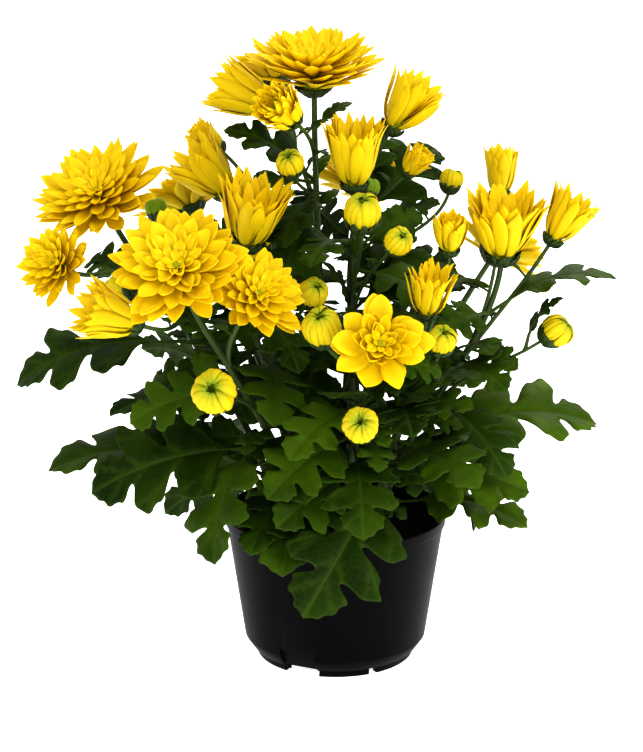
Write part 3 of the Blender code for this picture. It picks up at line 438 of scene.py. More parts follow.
# How each form's petals change from the outermost to the innermost: at these shares of the way in, how far
# the tips reach (of the half width), how high they rise (of the height), how wide the petals are (half, of
# the half width), how they set out and how they end (elevation in degrees), how cupped they are and how
# pointed
Bloom = namedtuple("Bloom", "count share reach rise width start end cup point")
BLOOMS = {
    "open": Bloom(
        92, (0, 0.22, 0.45, 0.68, 0.86, 1), (1.0, 0.96, 0.83, 0.60, 0.32, 0.11),
        (0.46, 0.70, 0.92, 1.0, 0.93, 0.78), (0.120, 0.122, 0.114, 0.094, 0.066, 0.034),
        (18, 28, 40, 52, 64, 74), (16, 32, 50, 72, 104, 130),
        (0.20, 0.26, 0.34, 0.5, 0.8, 0.8), (0.6, 0.62, 0.60, 0.45, 0.3, 0.3),
    ),
    "small open": Bloom(
        72, (0, 0.22, 0.45, 0.68, 0.88, 1), (1.0, 0.95, 0.80, 0.56, 0.30, 0.11),
        (0.44, 0.68, 0.92, 1.0, 0.95, 0.78), (0.146, 0.146, 0.132, 0.108, 0.078, 0.040),
        (16, 26, 38, 50, 62, 72), (12, 28, 46, 72, 106, 130),
        (0.20, 0.24, 0.34, 0.55, 0.85, 0.8), (0.45, 0.48, 0.45, 0.3, 0.3, 0.3),
    ),
    "sparse": Bloom(
        40, (0, 0.30, 0.36, 0.60, 0.86, 1), (1.0, 0.94, 0.62, 0.46, 0.27, 0.10),
        (0.50, 0.72, 0.90, 1.0, 0.96, 0.76), (0.250, 0.235, 0.150, 0.125, 0.090, 0.045),
        (14, 22, 40, 52, 64, 74), (4, 16, 54, 84, 112, 134),
        (0.16, 0.22, 0.5, 0.7, 0.85, 0.8), (0.12, 0.15, 0.2, 0.2, 0.3, 0.3),
    ),
    "button": Bloom(
        62, (0, 0.25, 0.55, 0.85, 1), (1.0, 0.92, 0.68, 0.33, 0.12), (0.62, 0.84, 1.0, 0.98, 0.82),
        (0.22, 0.21, 0.17, 0.12, 0.06), (22, 30, 44, 60, 72), (36, 54, 84, 114, 132),
        (0.25, 0.35, 0.6, 0.8, 0.8), (0.45, 0.4, 0.3, 0.3, 0.3),
    ),
    "cup": Bloom(
        54, (0, 0.36, 0.66, 0.87, 1), (1.0, 0.94, 0.68, 0.38, 0.15), (0.90, 1.0, 0.90, 0.75, 0.62),
        (0.200, 0.190, 0.155, 0.115, 0.08), (34, 44, 58, 70, 80), (56, 62, 76, 98, 112),
        (0.13, 0.16, 0.30, 0.5, 0.6), (0.72, 0.7, 0.6, 0.5, 0.4),
    ),
    "tulip": Bloom(
        30, (0, 0.4, 0.7, 1), (1.0, 0.86, 0.54, 0.16), (0.84, 0.99, 0.95, 0.76), (0.36, 0.34, 0.27, 0.14),
        (40, 54, 70, 80), (68, 76, 86, 104), (0.30, 0.34, 0.4, 0.5), (0.7, 0.7, 0.6, 0.5),
    ),
}
# Heads that differ from their form: how many petals, how wide and how pointed they are, as shares of the
# form's, how far their petals' colour moves towards the paler end of the painted-light ramp, and the form
# whose petals they have
Style = namedtuple("Style", "count width point warm form", defaults=(1.0, 1.0, 1.0, 0.0, None))
STYLES = {
    "bloom_front_left": Style(0.84, 1.30, 0.6),
    "bloom_front_right": Style(warm=0.10, form="sparse"),
    "bloom_front": Style(0.86, 1.04, 0.9, 0.30),
    "bloom_small_top": Style(0.9, 1.05, 1.0, 0.35),
    "bloom_left_side": Style(0.9, 1.05, 0.7, 0.12),
    "bloom_top_right": Style(0.6, 1.25, 1.1, 0.10),
    "bloom_right_outer": Style(0.85, 1.0, 1.1),
    "bloom_right_front": Style(0.9, 1.0, 0.8, 0.25),
}
GREEN_BUDS = ("bud_left", "bud_middle_back")

# The heart of a head: how high it stands, and its profile in shares of the calyx's radius and of that height
HEART_TOP = {"open": 0.62, "small open": 0.62, "button": 0.66, "cup": 0.58, "tulip": 0.60}
HEART_PROFILE = ((0.86, 0.02), (0.80, 0.25), (0.50, 0.72), (0.26, 0.95), (0, 1.0))
HEART_FOOT = 0.01
HEART_RIPPLE = 0.06
# What a bud's petals close round, in shares of its half width and height
BUD_CORE = (
    (0, 0.01), (0.42, 0.03), (0.80, 0.25), (0.86, 0.45), (0.74, 0.66), (0.42, 0.74), (0.16, 0.64), (0, 0.52),
)
BUD_OUTER_PETALS = 17
BUD_INNER_PETALS = 11


def bloom_petals(head, rand):
    """The petals of an open or half-open head, set round its axis by the golden angle from the outside in."""
    style = STYLES.get(head.name, Style())
    form = BLOOMS[style.form or head.form]
    half_width, height = 0.5 * head.size[0], head.size[1]
    count = int(form.count * style.count)
    share = np.linspace(0, 1, count)
    outer = 1 - 0.6 * share

    def of(row):
        return np.interp(share, form.share, row)

    loose = 1.8 if style.form == "sparse" else 1.0
    turn = jitter(rand, np.radians(GOLDEN_ANGLE) * np.arange(count), loose * (0.17 - 0.08 * share), count)
    uneven = 1 + 0.045 * np.sin(3 * turn + rand.uniform(0, 6.28))
    uneven = uneven + 0.03 * np.sin(5 * turn + rand.uniform(0, 6.28))
    reach = of(form.reach) * uneven * (1 + rand.uniform(-0.13 * loose, 0.05, count) * outer)
    shift = rand.uniform(-0.10, 0.10, count) * outer
    calyx = CALYX_SHARE[head.form] * head.size[0]
    return {
        "azimuth": turn,
        "r0": calyx * (0.78 - 0.70 * share),
        "z0": height * (0.02 + (0.50 if "open" in head.form else 0.30) * share),
        "r1": half_width * reach,
        "z1": height * (of(form.rise) + shift),
        "e0": np.radians(jitter(rand, of(form.start), 6, count)),
        "e1": np.radians(jitter(rand, of(form.end), 12, count)),
        "width": half_width * style.width * of(form.width) * jitter(rand, 1.0, 0.16, count),
        "cup": of(form.cup) * jitter(rand, 1.0, 0.4, count),
        "roll": jitter(rand, 0.0, 0.12 if head.form == "cup" else 0.22, count),
        "bend": jitter(rand, 0.0, 0.08, count),
        "point": style.point * of(form.point) * jitter(rand, 1.0, 0.3, count),
        # depth also paints the inner petals paler: painted light that lifts the shade at the heart of the
        # head
        "depth": np.clip(share + style.warm, 0, 1),
        "pull": 0.36,
        "green0": 0.20 if head.form in ("cup", "tulip") else 0.05,
        "green1": np.clip((share - 0.95) / 0.05, 0, 1) * 0.7,
    }


def bud_petals(head, rand):
    """A bud's petals: they run up round a ball and fold into the dimple at its top."""
    half_width, height = 0.5 * head.size[0], head.size[1]
    rows = (BUD_OUTER_PETALS, BUD_INNER_PETALS)
    count = sum(rows)
    inside = np.repeat((0.0, 1.0), rows)
    turn = np.concatenate([(np.arange(n) + 0.4 * row) * 2 * np.pi / n for row, n in enumerate(rows)])
    size = 1.0 - 0.13 * inside
    return {
        "azimuth": jitter(rand, turn, 0.05, count),
        "r0": 0.40 * half_width * size,
        "z0": height * (0.04 + 0.05 * inside),
        "r1": half_width * (jitter(rand, 0.24, 0.06, count) - 0.08 * inside),
        "z1": height * (jitter(rand, 0.92, 0.05, count) - 0.10 * inside),
        "e0": np.radians(jitter(rand, 4, 4, count)),
        "e1": np.radians(jitter(rand, 204, 10, count)),
        "pull": 0.63 * size,
        "width": 0.27 * half_width * jitter(rand, 1.0, 0.10, count),
        "cup": jitter(rand, 0.30, 0.06, count),
        "roll": jitter(rand, 0.10, 0.08, count),
        "bend": jitter(rand, 0.02, 0.04, count),
        "point": jitter(rand, 0.3, 0.2, count),
        # depth also paints the inner petals paler: painted light that lifts the shade inside the bud
        "depth": 0.30 + 0.4 * inside,
        "green0": 0.60,
        "green1": 0.95,
    }


def head_piece(head, turn, number):
    """A flower head or a bud: its petals, and the heart or the core that they close round."""
    rand = np.random.RandomState(100 + number)
    matrix = standing(seat_of(head), facing(head), turn)
    width, height = head.size
    made = Gather()
    if head.form == "bud":
        petals = bud_petals(head, rand)
        add_core(made, matrix, BUD_CORE, 0.5 * width, height, depth=0.9, green=1.0)
    else:
        petals = bloom_petals(head, rand)
        top = HEART_TOP[head.form]
        profile = [(0, HEART_FOOT), HEART_PROFILE[0]] + [(r, z * top) for r, z in HEART_PROFILE[1:]]
        radius = CALYX_SHARE[head.form] * width
        add_core(made, matrix, profile, radius, height, 20, HEART_RIPPLE, 7, depth=1.0, green=0.85)
    if head.name in GREEN_BUDS:
        petals["leafy"] = 1.0
    add_petals(made, matrix, petals, rand)
    made.make(head.name + "_petals", "petals", head.name)


# Stems, stalks and calyxes

MAIN_FINE_STEPS = 64
STALK_FINE_STEPS = 26
RIDGES = 6
RIDGE_HEIGHT = 0.05
CALYX_PROFILE = ((0.62, -0.72), (0.90, -0.38), (1.0, -0.02), (0.93, 0.10), (0, 0.10))
BRACT_ROWS = np.array((0.0, 0.3, 0.6, 0.85, 1.0))
BRACT_COLUMNS = np.linspace(-1.0, 1.0, 3)
BRACT_THICKNESS = 0.0004
# The rows of bracts on each kind of calyx, from its foot up: how many, and how far out and how high their
# tips are in shares of its radius
BRACTS = {
    "open": ((9, 1.10, -0.04), (12, 1.24, 0.12), (12, 1.36, 0.26)),
    "cup": ((9, 1.14, 0.10), (12, 1.20, 0.30), (12, 1.20, 0.52)),
    "bud": ((8, 1.20, 0.24), (10, 1.35, 0.56), (10, 1.42, 0.92)),
}
# The same rows: how wide and how pointed the bracts are, and how green they are at the tip and all over
BRACT_LOOKS = ((0.22, 0.9, 0.3, 0.2), (0.29, 0.4, 0.7, 0.4), (0.29, 0.3, 0.9, 0.5))


def main_curve(shoot, steps):
    """The points of a shoot's main stem above the soil."""
    head = shoot.heads[0]
    start = Vector((*shoot.foot, STEM_RISE))
    end = seat_of(head) - SEAT_GAP * facing(head)
    span = (end - start).length
    outward = Vector((end.x - start.x, end.y - start.y, 0.0))
    first = start + Vector((0, 0, 0.34 * span)) + 0.12 * outward
    return bezier(start, first, end - 0.34 * span * facing(head), end, steps)


def main_line(shoot):
    """The main stem of the solid, which leaves and stalks are placed on."""
    return [Vector((*shoot.foot, STEM_FOOT))] + main_curve(shoot, MAIN_STEPS)


def on_curve(fine, share):
    """The point and the direction of the fine main stem at a share of the solid's main stem."""
    place = (share * (MAIN_STEPS + 1) - 1) / MAIN_STEPS
    return along(fine, min(max(place, 0.0), 1.0))


def stalk_curve(head, fork, steps):
    """The points of a stalk from its fork, which is a point and a direction, to the foot of its calyx."""
    start, ahead = fork
    end = seat_of(head) - SEAT_GAP * facing(head)
    span = (end - start).length
    return bezier(start, start + 0.36 * span * ahead, end - 0.36 * span * facing(head), end, steps)


def fine_stalk(head, fine):
    return stalk_curve(head, on_curve(fine, head.fork), STALK_FINE_STEPS)


def tube(points, radii, sides, ridge=0.0):
    """A closed round solid along points, with low ridges: its points and faces, and for each point how far
    along it is and how high on a ridge."""
    points = np.array([tuple(p) for p in points])
    ahead = unit(np.gradient(points, axis=0))
    side = np.cross(ahead[0], (0.0, 1.0, 0.3))
    angles = np.arange(sides) * 2 * math.pi / sides
    wave = np.cos(RIDGES * angles)
    rings = []
    for point, forward, radius in zip(points, ahead, radii):
        side = side - forward * (side @ forward)
        side /= np.linalg.norm(side)
        r = radius * (1.0 + ridge * wave)
        out = np.outer(r * np.cos(angles), side)
        rings.append(point + out + np.outer(r * np.sin(angles), np.cross(forward, side)))
    count = len(points)
    body = np.concatenate((points[:1], *rings, points[-1:]))
    run = np.concatenate(([0], np.repeat(np.linspace(0, 1, count), sides), [1]))
    return body, ring_faces(count, sides), run, np.concatenate(([0], np.tile(wave, count), [0]))


def add_stem(gather, points, radius, taper, sides, rand, green):
    """A stem or a stalk that gets thinner along its points. Gives its radius at the end."""
    radii = radius * (1.0 - (1.0 - taper) * np.linspace(0, 1, len(points)))
    body, faces, run, wave = tube(points, radii, sides, RIDGE_HEIGHT)
    tone = np.full(len(run), rand.uniform(-1, 1))
    gather.add(body, faces, petal=np.stack((run, wave, tone), -1), depth=0.0, green=green)
    return radii[-1]


def add_calyx(gather, head, neck, rand):
    """The green cup under a head, with three rows of small bracts round it."""
    radius = CALYX_SHARE[head.form] * head.size[0]
    depth = CALYX_DEPTH * radius
    matrix = standing(seat_of(head), facing(head))
    profile = ((0, -1.02), (1.15 * neck / radius, -1.0), *CALYX_PROFILE)
    add_core(gather, matrix, profile, radius, depth, 22, 0.03, 11, depth=0.6, green=0.6)
    kind = "open" if head.form.endswith("open") else "bud" if head.form == "bud" else "cup"
    for row, (count, reach, up) in enumerate(BRACTS[kind]):
        width, point, green_tip, leafy = BRACT_LOOKS[row]
        plan = {
            "azimuth": jitter(rand, (np.arange(count) + 0.37 * row) * 2 * np.pi / count, 0.12, count),
            "r0": (0.45 + 0.18 * row) * radius,
            "z0": (-0.86 + 0.22 * row) * depth,
            "r1": radius * reach * jitter(rand, 1.0, 0.04, count),
            "z1": radius * (up + rand.uniform(-0.06, 0.06, count)),
            "e0": np.radians(18.0),
            "e1": np.radians(jitter(rand, 40.0 if kind == "open" else 84.0, 10, count)),
            "pull": 0.36,
            "width": width * radius,
            "cup": 0.22,
            "roll": jitter(rand, 0.0, 0.15, count),
            "bend": 0.0,
            "point": point,
            "depth": 1.0,
            "green0": 0.5,
            "green1": green_tip,
            "leafy": leafy,
        }
        add_petals(gather, matrix, plan, rand, BRACT_THICKNESS, BRACT_ROWS, BRACT_COLUMNS)


def stem_piece(shoot, number, fine):
    """The stems, stalks and calyxes of a shoot."""
    rand = np.random.RandomState(300 + number)
    made = Gather()
    foot = Vector((*shoot.foot, STEM_FOOT))
    line = [foot, foot.lerp(fine[0], 0.5)] + fine
    neck = add_stem(made, line, MAIN_RADIUS, MAIN_TAPER, 18, rand, 0.2)
    add_calyx(made, shoot.heads[0], neck, rand)
    for head in shoot.heads[1:]:
        radius = STALK_RADIUS * min(1.0, 0.66 + 8.0 * head.size[0])
        neck = add_stem(made, fine_stalk(head, fine), radius, STALK_TAPER, 12, rand, 0.6)
        add_calyx(made, head, neck, rand)
    made.make(shoot.name + "_stems", "stems", shoot.name)


# Leaves

# Half of a leaf's edge from the foot of its blade to its tip, along the blade and out from its rib, as shares
# of the blade's length: two lobes and an end, with rounded teeth
LEAF_EDGE = (
    (0.0, 0.012), (0.05, 0.036), (0.115, 0.095), (0.165, 0.205), (0.215, 0.310), (0.262, 0.288),
    (0.335, 0.385), (0.382, 0.340), (0.428, 0.302), (0.424, 0.205), (0.402, 0.105), (0.440, 0.092),
    (0.495, 0.200), (0.545, 0.305), (0.592, 0.285), (0.662, 0.365), (0.698, 0.308), (0.730, 0.262),
    (0.706, 0.180), (0.688, 0.098), (0.722, 0.090), (0.792, 0.215), (0.826, 0.168), (0.895, 0.184),
    (0.912, 0.115), (0.962, 0.090), (0.972, 0.045), (1.0, 0.0),
)
# Where the lobes stand along the blade, from its foot to its tip, and which points of the edge their tips are
LOBE_RUNS = (0, 0.33, 0.66, 0.89, 1.0)
LOBE_TIPS = [6, 15, 23]
SPOON_WIDTH = 0.27
# Veins: where each leaves the rib or another vein, where it ends, and how strong it is
LEAF_VEINS = (
    ((0.0, 0.0), (0.98, 0.0), 1.0),
    ((0.06, 0.0), (0.330, 0.345), 0.8),
    ((0.33, 0.0), (0.652, 0.330), 0.8),
    ((0.58, 0.0), (0.792, 0.190), 0.6),
    ((0.72, 0.0), (0.885, 0.155), 0.5),
    ((0.150, 0.115), (0.228, 0.275), 0.45),
    ((0.210, 0.190), (0.405, 0.275), 0.45),
    ((0.440, 0.112), (0.548, 0.275), 0.45),
    ((0.520, 0.195), (0.708, 0.262), 0.45),
)
STRONG_VEIN = 0.7
VEIN_HALF_WIDTH = 0.011
EDGE_CLEARANCE = 0.010
# Kinds of leaf: how far apart the points of the blade are, how deeply it is cut (1 for a grown leaf, and near
# 0 for a young, spoon-shaped one), how often its corners are rounded, and a seed for each of its variants
LEAF_KINDS = {
    "grown": (0.036, 1.0, 2, (1, 2, 3, 4, 5)),
    "small": (0.05, 0.45, 2, (6, 7)),
    "inner": (0.10, 1.0, 1, (8, 9, 10)),
    "young": (0.12, 0.30, 1, (11, 12, 13)),
}
SMALL_LEAF = 0.036
# Painted light: single leaves painted much paler than the rest, as if sunlit, and one painted darker: by
# shoot and number, what is added to the tone
PAINTED_LEAF_LIGHT = {
    ("shoot_right", 0): 1.0, ("shoot_right", 2): 2.2, ("shoot_right", 3): 0.8, ("shoot_front_right", 1): -1.2,
}
# How the blade waves, ripples, swells between its veins and sinks along them, in shares of the leaf's length
LEAF_WAVE = 0.016
LEAF_RIPPLE = 0.006
LEAF_SWELL = 0.0045
LEAF_CREASE = 0.010
VEIN_SINK = 0.0050
# Half of the blade's thickness, how much less it is at the edge, and how much more along the strongest vein
BLADE_HALF = 0.00030
EDGE_THINNER = 0.00015
VEIN_THICKER = 0.00022


def rounded(points, times):
    """Cuts the corners of an open line, keeping its ends."""
    points = np.array(points, float)
    for _ in range(times):
        a, b = points[:-1], points[1:]
        cut = np.stack((0.72 * a + 0.28 * b, 0.28 * a + 0.72 * b), 1).reshape(-1, 2)
        points = np.concatenate((points[:1], cut[1:-1], points[-1:]))
    return points


def inside(polygon, points):
    """Which points lie in a polygon, by counting the edges that a ray crosses."""
    x, y = points[:, 0][:, None], points[:, 1][:, None]
    ax, ay = polygon[:, 0], polygon[:, 1]
    bx, by = np.roll(ax, -1), np.roll(ay, -1)
    crosses = (ay > y) != (by > y)
    at = (bx - ax) * (y - ay) / np.where(by == ay, 1e-12, by - ay) + ax
    return (np.sum(crosses & (x < at), 1) % 2) == 1


def to_segments(points, starts, ends):
    """The distance of each point from each segment."""
    steps = ends - starts
    share = np.einsum("pij,ij->pi", points[:, None] - starts[None], steps)
    share = share / np.maximum((steps**2).sum(-1), 1e-12)
    nearest = starts + np.clip(share, 0, 1)[..., None] * steps
    return np.linalg.norm(points[:, None] - nearest, axis=-1)


def to_edge(points, outline):
    return to_segments(points, outline, np.roll(outline, -1, 0)).min(1)


def leaf_shape(rand, lobes, corners):
    """A leaf's outline and its veins: where they start, where they end, and how strong they are."""
    sides = []
    veins = [LEAF_VEINS[0]]
    for side in (1.0, -1.0):
        reach = (1.0, *(1.0 + rand.uniform(-0.10, 0.08, 3)), 1.0)
        lobe = np.interp([run for run, _ in LEAF_EDGE], LOBE_RUNS, reach)
        edge = np.array(LEAF_EDGE) + rand.uniform(-0.006, 0.006, (len(LEAF_EDGE), 2))
        spoon = SPOON_WIDTH * np.sin(np.pi * np.clip(edge[:, 0], 0, 1) ** 0.85) ** 0.7
        edge[:, 1] = lobes * lobe * edge[:, 1] + (1 - lobes) * spoon
        edge[0], edge[-1] = LEAF_EDGE[0], LEAF_EDGE[-1]
        sides.append(rounded(edge, corners) * (1.0, side))
        tips = (1.0, *lobe[LOBE_TIPS], 1.0)
        for start, end, strength in LEAF_VEINS[1:]:
            scale = (1.0, side * np.interp(end[0], LOBE_RUNS, tips))
            veins.append((np.multiply(start, scale), np.multiply(end, scale), strength))
    outline = np.concatenate((sides[1], sides[0][-2::-1]))
    return outline, *(np.array([vein[part] for vein in veins], float) for part in range(3))


def leaf_points(outline, starts, ends, strength, spacing):
    """Points inside a leaf's outline: rows along its veins, and a grid between them."""
    rows = []
    for a, b, strong in zip(starts, ends, strength > STRONG_VEIN):
        length = np.linalg.norm(b - a)
        count = max(3, int(length / (0.9 * spacing)))
        row = a + np.linspace(0, 1, count + 1)[1:, None] * (b - a)
        aside = VEIN_HALF_WIDTH * np.array((a[1] - b[1], b[0] - a[0])) / length
        rows += [row, row + aside, row - aside] if strong else [row]
    rows = np.concatenate(rows)
    up = 0.866 * spacing
    grid = np.array([
        (x + 0.5 * spacing * (i % 2), i * up) for i in range(-14, 15) for x in np.arange(0.0, 1.0, spacing)
    ])
    grid = grid[np.linalg.norm(grid[:, None] - rows[None], axis=-1).min(1) > 0.5 * spacing]
    free = np.concatenate((rows, grid))
    free = free[inside(outline, free)]
    return free[to_edge(free, outline) > EDGE_CLEARANCE]


LeafPlan = namedtuple("LeafPlan", "flat triangles rim vein margin")


def leaf_plan(seed, spacing, lobes, corners):
    """A flat leaf blade: its points, triangles and rim, how near each point is to a vein, and how far from
    the edge."""
    outline, starts, ends, strength = leaf_shape(np.random.RandomState(seed), lobes, corners)
    points = np.concatenate((outline, leaf_points(outline, starts, ends, strength, spacing)))
    made = geometry.delaunay_2d_cdt([Vector(p) for p in points], [], [list(range(len(outline)))], 1, 1e-6)
    flat = np.array([tuple(p) for p in made[0]])
    triangles = np.array(made[2])
    first, second, third = (flat[triangles[:, i]] for i in range(3))
    turned_over = np.cross(second - first, third - first) < 0
    triangles[turned_over] = triangles[turned_over][:, ::-1]
    edges = {(int(a), int(b)) for t in triangles for a, b in zip(t, np.roll(t, -1))}
    rim = [(a, b) for a, b in sorted(edges) if (b, a) not in edges]
    away = to_segments(flat, starts, ends) / (0.006 + 0.008 * strength)
    return LeafPlan(flat, triangles, rim, (strength * np.exp(-(away**2))).max(1), to_edge(flat, outline))


def leaf_frame(root, azimuth, pitch, roll):
    """The matrix whose X runs along a leaf and whose Z is its upper side."""
    forward = direction(azimuth, pitch)
    side = Vector((0, 0, 1)).cross(forward).normalized()
    up = forward.cross(side)
    turn = Matrix.Rotation(math.radians(roll), 3, forward)
    columns = (forward, turn @ side, turn @ up)
    matrix = Matrix([[c[i] for c in columns] for i in range(3)]).to_4x4()
    return Matrix.Translation(root) @ matrix


def leaf_surface(u, v, crease=0.0):
    """The points of the bent blade above points of the flat one, where u is along it and v is across, for a
    leaf whose length is 1 with its stalk."""
    span = 1.0 - PETIOLE_SHARE
    bend = LEAF_ARCH * np.maximum(0.0, u)
    out = np.sqrt((span * v) ** 2 + crease * crease) - crease
    rise = LEAF_FOLD * out - LEAF_LOBE_DROOP * (out / 0.25) ** 2 * 0.5
    run = PETIOLE_SHARE + span * np.sin(bend) / LEAF_ARCH
    sag = span * (1.0 - np.cos(bend)) / LEAF_ARCH
    return np.stack((run + rise * np.sin(bend), span * v, rise * np.cos(bend) - sag), -1)


LEAF_MARKS = np.array([(1.0, 0.0)] + [(u, side * v) for u, v in CAD_LEAF_OUTLINE for side in (1, -1)]).T
LEAF_MOVES = sorted(
    ((swing, lift) for swing in range(-48, 49, 8) for lift in range(-24, 33, 8)),
    key=lambda move: abs(move[0]) + 1.3 * abs(move[1]),
)
MATCHED = 0.0009


def find_leaf(leaf, line, tree):
    """The matrix and the length of a leaf of the solid, or None where the solid has none. It was turned from
    its plan until it was clear of its neighbours, so each turn is compared with the solid's corners."""
    root, _ = along(line, leaf.along)
    chord = Vector(leaf.tip) - root
    azimuth = math.degrees(math.atan2(chord.y, chord.x))
    pitch = math.degrees(math.asin(chord.z / chord.length)) + LEAF_TIP_DROP
    length = chord.length / LEAF_TIP_REACH
    marks = length * leaf_surface(*LEAF_MARKS)
    best = (1.0, None)
    for swing, lift in LEAF_MOVES:
        matrix = leaf_frame(root, azimuth + swing, pitch + lift, leaf.roll)
        off = sum(tree.find(Vector(p))[2] for p in placed(matrix, marks)) / len(marks)
        best = min(best, (off, matrix), key=lambda b: b[0])
    return (best[1], length) if best[0] < MATCHED else None


def ruled_leaves(shoot, line, draws):
    """The leaves that the source of the solids sets round a shoot by rule."""
    middle_x, middle_y = 0.5 * shoot.foot[0], 0.5 * shoot.foot[1]
    outward = math.degrees(math.atan2(line[-1].y - middle_y, line[-1].x - middle_x))
    front = -1.0 if shoot.foot[1] > 0.02 else 1.0
    leaves = []
    for i in range(shoot.ruled):
        share = 0.28 + 0.56 * (i + 0.5) / shoot.ruled
        azimuth = outward + ((i * GOLDEN_ANGLE + 60.0) % 260.0) - 130.0 + draws.uniform(-8, 8)
        pitch = -62.0 + 46.0 * share + draws.uniform(-6, 6)
        length = 0.092 - 0.032 * share + 0.004 * draws.uniform(-1, 1)
        tip = along(line, share)[0] + length * direction(azimuth, pitch)
        leaves.append(Leaf(share, tip, front * LEAF_ROLL * math.cos(math.radians(azimuth))))
    return leaves


def add_blade(gather, plan, matrix, length, tone, phase):
    """The blade of a leaf, with sunken veins on top and ribs below."""
    u, v = plan.flat.T
    surface = leaf_surface(u, v, LEAF_CREASE)
    aside = np.minimum(np.abs(v) / 0.30, 1.2)
    wave = LEAF_WAVE * aside**1.5 * np.sin(13 * u + phase[0] + np.where(v > 0, 0, 2.1))
    ripple = LEAF_RIPPLE * aside * np.sin(31 * u + phase[1])
    swell = LEAF_SWELL * (1 - plan.vein) * np.minimum(plan.margin / 0.03, 1) - VEIN_SINK * plan.vein
    first, second, third = (surface[plan.triangles[:, i]] for i in range(3))
    across = np.cross(second - first, third - first)
    normal = np.zeros_like(surface)
    for corner in range(3):
        np.add.at(normal, plan.triangles[:, corner], across)
    normal = unit(normal)
    middle = length * (surface + normal * (wave + ripple + swell)[:, None])
    half = BLADE_HALF - EDGE_THINNER * np.exp(-plan.margin / 0.02) + VEIN_THICKER * plan.vein
    points = np.concatenate((middle + normal * half[:, None], middle - normal * half[:, None]))
    n = len(surface)
    under = plan.triangles[:, ::-1] + n
    rim = [(b, a, a + n, b + n) for a, b in plan.rim]
    flat = np.stack((u, v, np.full(n, tone)), -1)
    gather.add(
        placed(matrix, points), plan.triangles.tolist() + under.tolist() + rim, flat=np.tile(flat, (2, 1)),
        vein=np.tile(plan.vein, 2), side=np.repeat((0.0, 1.0), n), margin=np.tile(plan.margin, 2),
    )


def add_leaf(gather, plan, matrix, length, fork, rand, paler=0.0):
    """A leaf: its blade, and its stalk, which comes from a fork of the stem and runs on under the blade."""
    # paler is added to the tone, painting a leaf paler as if sunlit, and for one leaf darker
    tone = rand.uniform(-1, 1) + paler
    add_blade(gather, plan, matrix, length, tone, rand.uniform(0, 6.28, 3))
    root, ahead = fork
    foot = matrix @ Vector((PETIOLE_SHARE * length, 0, -0.0002))
    forward = (matrix.to_3x3() @ Vector((1, 0, 0))).normalized()
    reach = (foot - root).length
    leaving = (0.5 * ahead + forward).normalized()
    stalk = bezier(root, root + 0.3 * reach * leaving, foot - 0.35 * reach * forward, foot, 8)
    under = np.linspace(0.06, 0.80, 9)
    rib = placed(matrix, length * leaf_surface(under, 0 * under) - (0, 0, 0.00035))
    radii = np.concatenate((np.linspace(0.00125, 0.00090, 9), 0.00085 * (1 - under) + 0.00012))
    body, faces, *_ = tube([*stalk, *rib], radii * min(1.0, 0.35 + length / 0.06), 8)
    gather.add(body, faces, flat=(0.0, 0.0, tone), vein=0.75, side=0.6, margin=0.1)


# Leaves inside the plant, which the solids leave out

# The room that a blade needs, as half widths along it, in shares of its length
ROOM_RUNS = np.array((0.0, 0.15, 0.32, 0.50, 0.70, 0.88, 1.0))
ROOM_WIDTHS = np.array((0.03, 0.22, 0.36, 0.34, 0.34, 0.20, 0.02))
ROOM_ACROSS = np.array((-1.0, -0.5, 0.0, 0.5, 1.0))
# The leaves of the solids lie about an ellipsoid, and the added ones stay in it
PLANT_MIDDLE = (-0.006, 0.004, 0.176)
PLANT_REACH = (0.112, 0.104, 0.106)
LOWEST_LEAF = 0.080
INNER_LEAVES = 9
INNER_TRIES = 46
INNER_GAP = 0.0011
YOUNG_PLACES = (0.04, 0.42, 0.72)
YOUNG_TRIES = 14
YOUNG_GAP = 0.0007
YOUNG_WIDTH = 0.7


def solid_tree(*names):
    """A search tree of some of the solids."""
    points, faces = [], []
    for name in names:
        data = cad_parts[name].data
        faces += [[len(points) + i for i in polygon.vertices] for polygon in data.polygons]
        points += [tuple(v.co) for v in data.vertices]
    return BVHTree.FromPolygons(points, faces)


def leaf_room(matrix, length, gap, wide):
    """The trees of the room that a leaf's blade and its stalk need, with a gap round them."""
    v = wide * ROOM_WIDTHS[:, None] * ROOM_ACROSS
    sheet = length * leaf_surface(np.broadcast_to(ROOM_RUNS[:, None], v.shape), v).reshape(-1, 3)
    points = placed(matrix, np.concatenate([sheet + (0, 0, off) for off in (-gap, 0, gap)]))
    at = np.arange(v.size).reshape(v.shape)
    quads = np.stack((at[:-1, :-1], at[:-1, 1:], at[1:, 1:], at[1:, :-1]), -1).reshape(-1, 4)
    quads = np.concatenate([quads + layer * v.size for layer in range(3)])
    blade = BVHTree.FromPolygons(points.tolist(), quads.tolist())
    round_it = ((1, 0), (-1, 0), (0, 1), (0, -1))
    ends = [(x * PETIOLE_SHARE * length, y * gap, z * gap) for x in (0.10, 1.0) for y, z in round_it]
    stalk = BVHTree.FromPolygons(placed(matrix, np.array(ends)).tolist(), [(0, 1, 5, 4), (2, 3, 7, 6)])
    return blade, stalk


def within_plant(matrix, length):
    """Whether a leaf stays inside the plant's outline."""
    points = placed(matrix, length * leaf_surface(*LEAF_MARKS))
    out = (points - PLANT_MIDDLE) / np.array(PLANT_REACH)
    return bool(np.all((out**2).sum(-1) < 1) and points[:, 2].min() > LOWEST_LEAF)


class Room:
    """What stands in the plant: its solids, and the leaves that are added inside it."""

    def __init__(self):
        names = list(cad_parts)
        self.all = solid_tree(*names)
        self.others = {shoot.name: solid_tree(*[n for n in names if n != shoot.name]) for shoot in SHOOTS}
        self.added = []

    def take(self, shoot, matrix, length, gap, wide):
        """Whether a leaf of a shoot has room. If it has, the room is taken."""
        blade, stalk = leaf_room(matrix, length, gap, wide)
        if blade.overlap(self.all) or stalk.overlap(self.others[shoot.name]):
            return False
        if any(blade.overlap(tree) or stalk.overlap(tree) for tree in self.added):
            return False
        self.added.append(blade)
        return True


Added = namedtuple("Added", "kind matrix length fork")


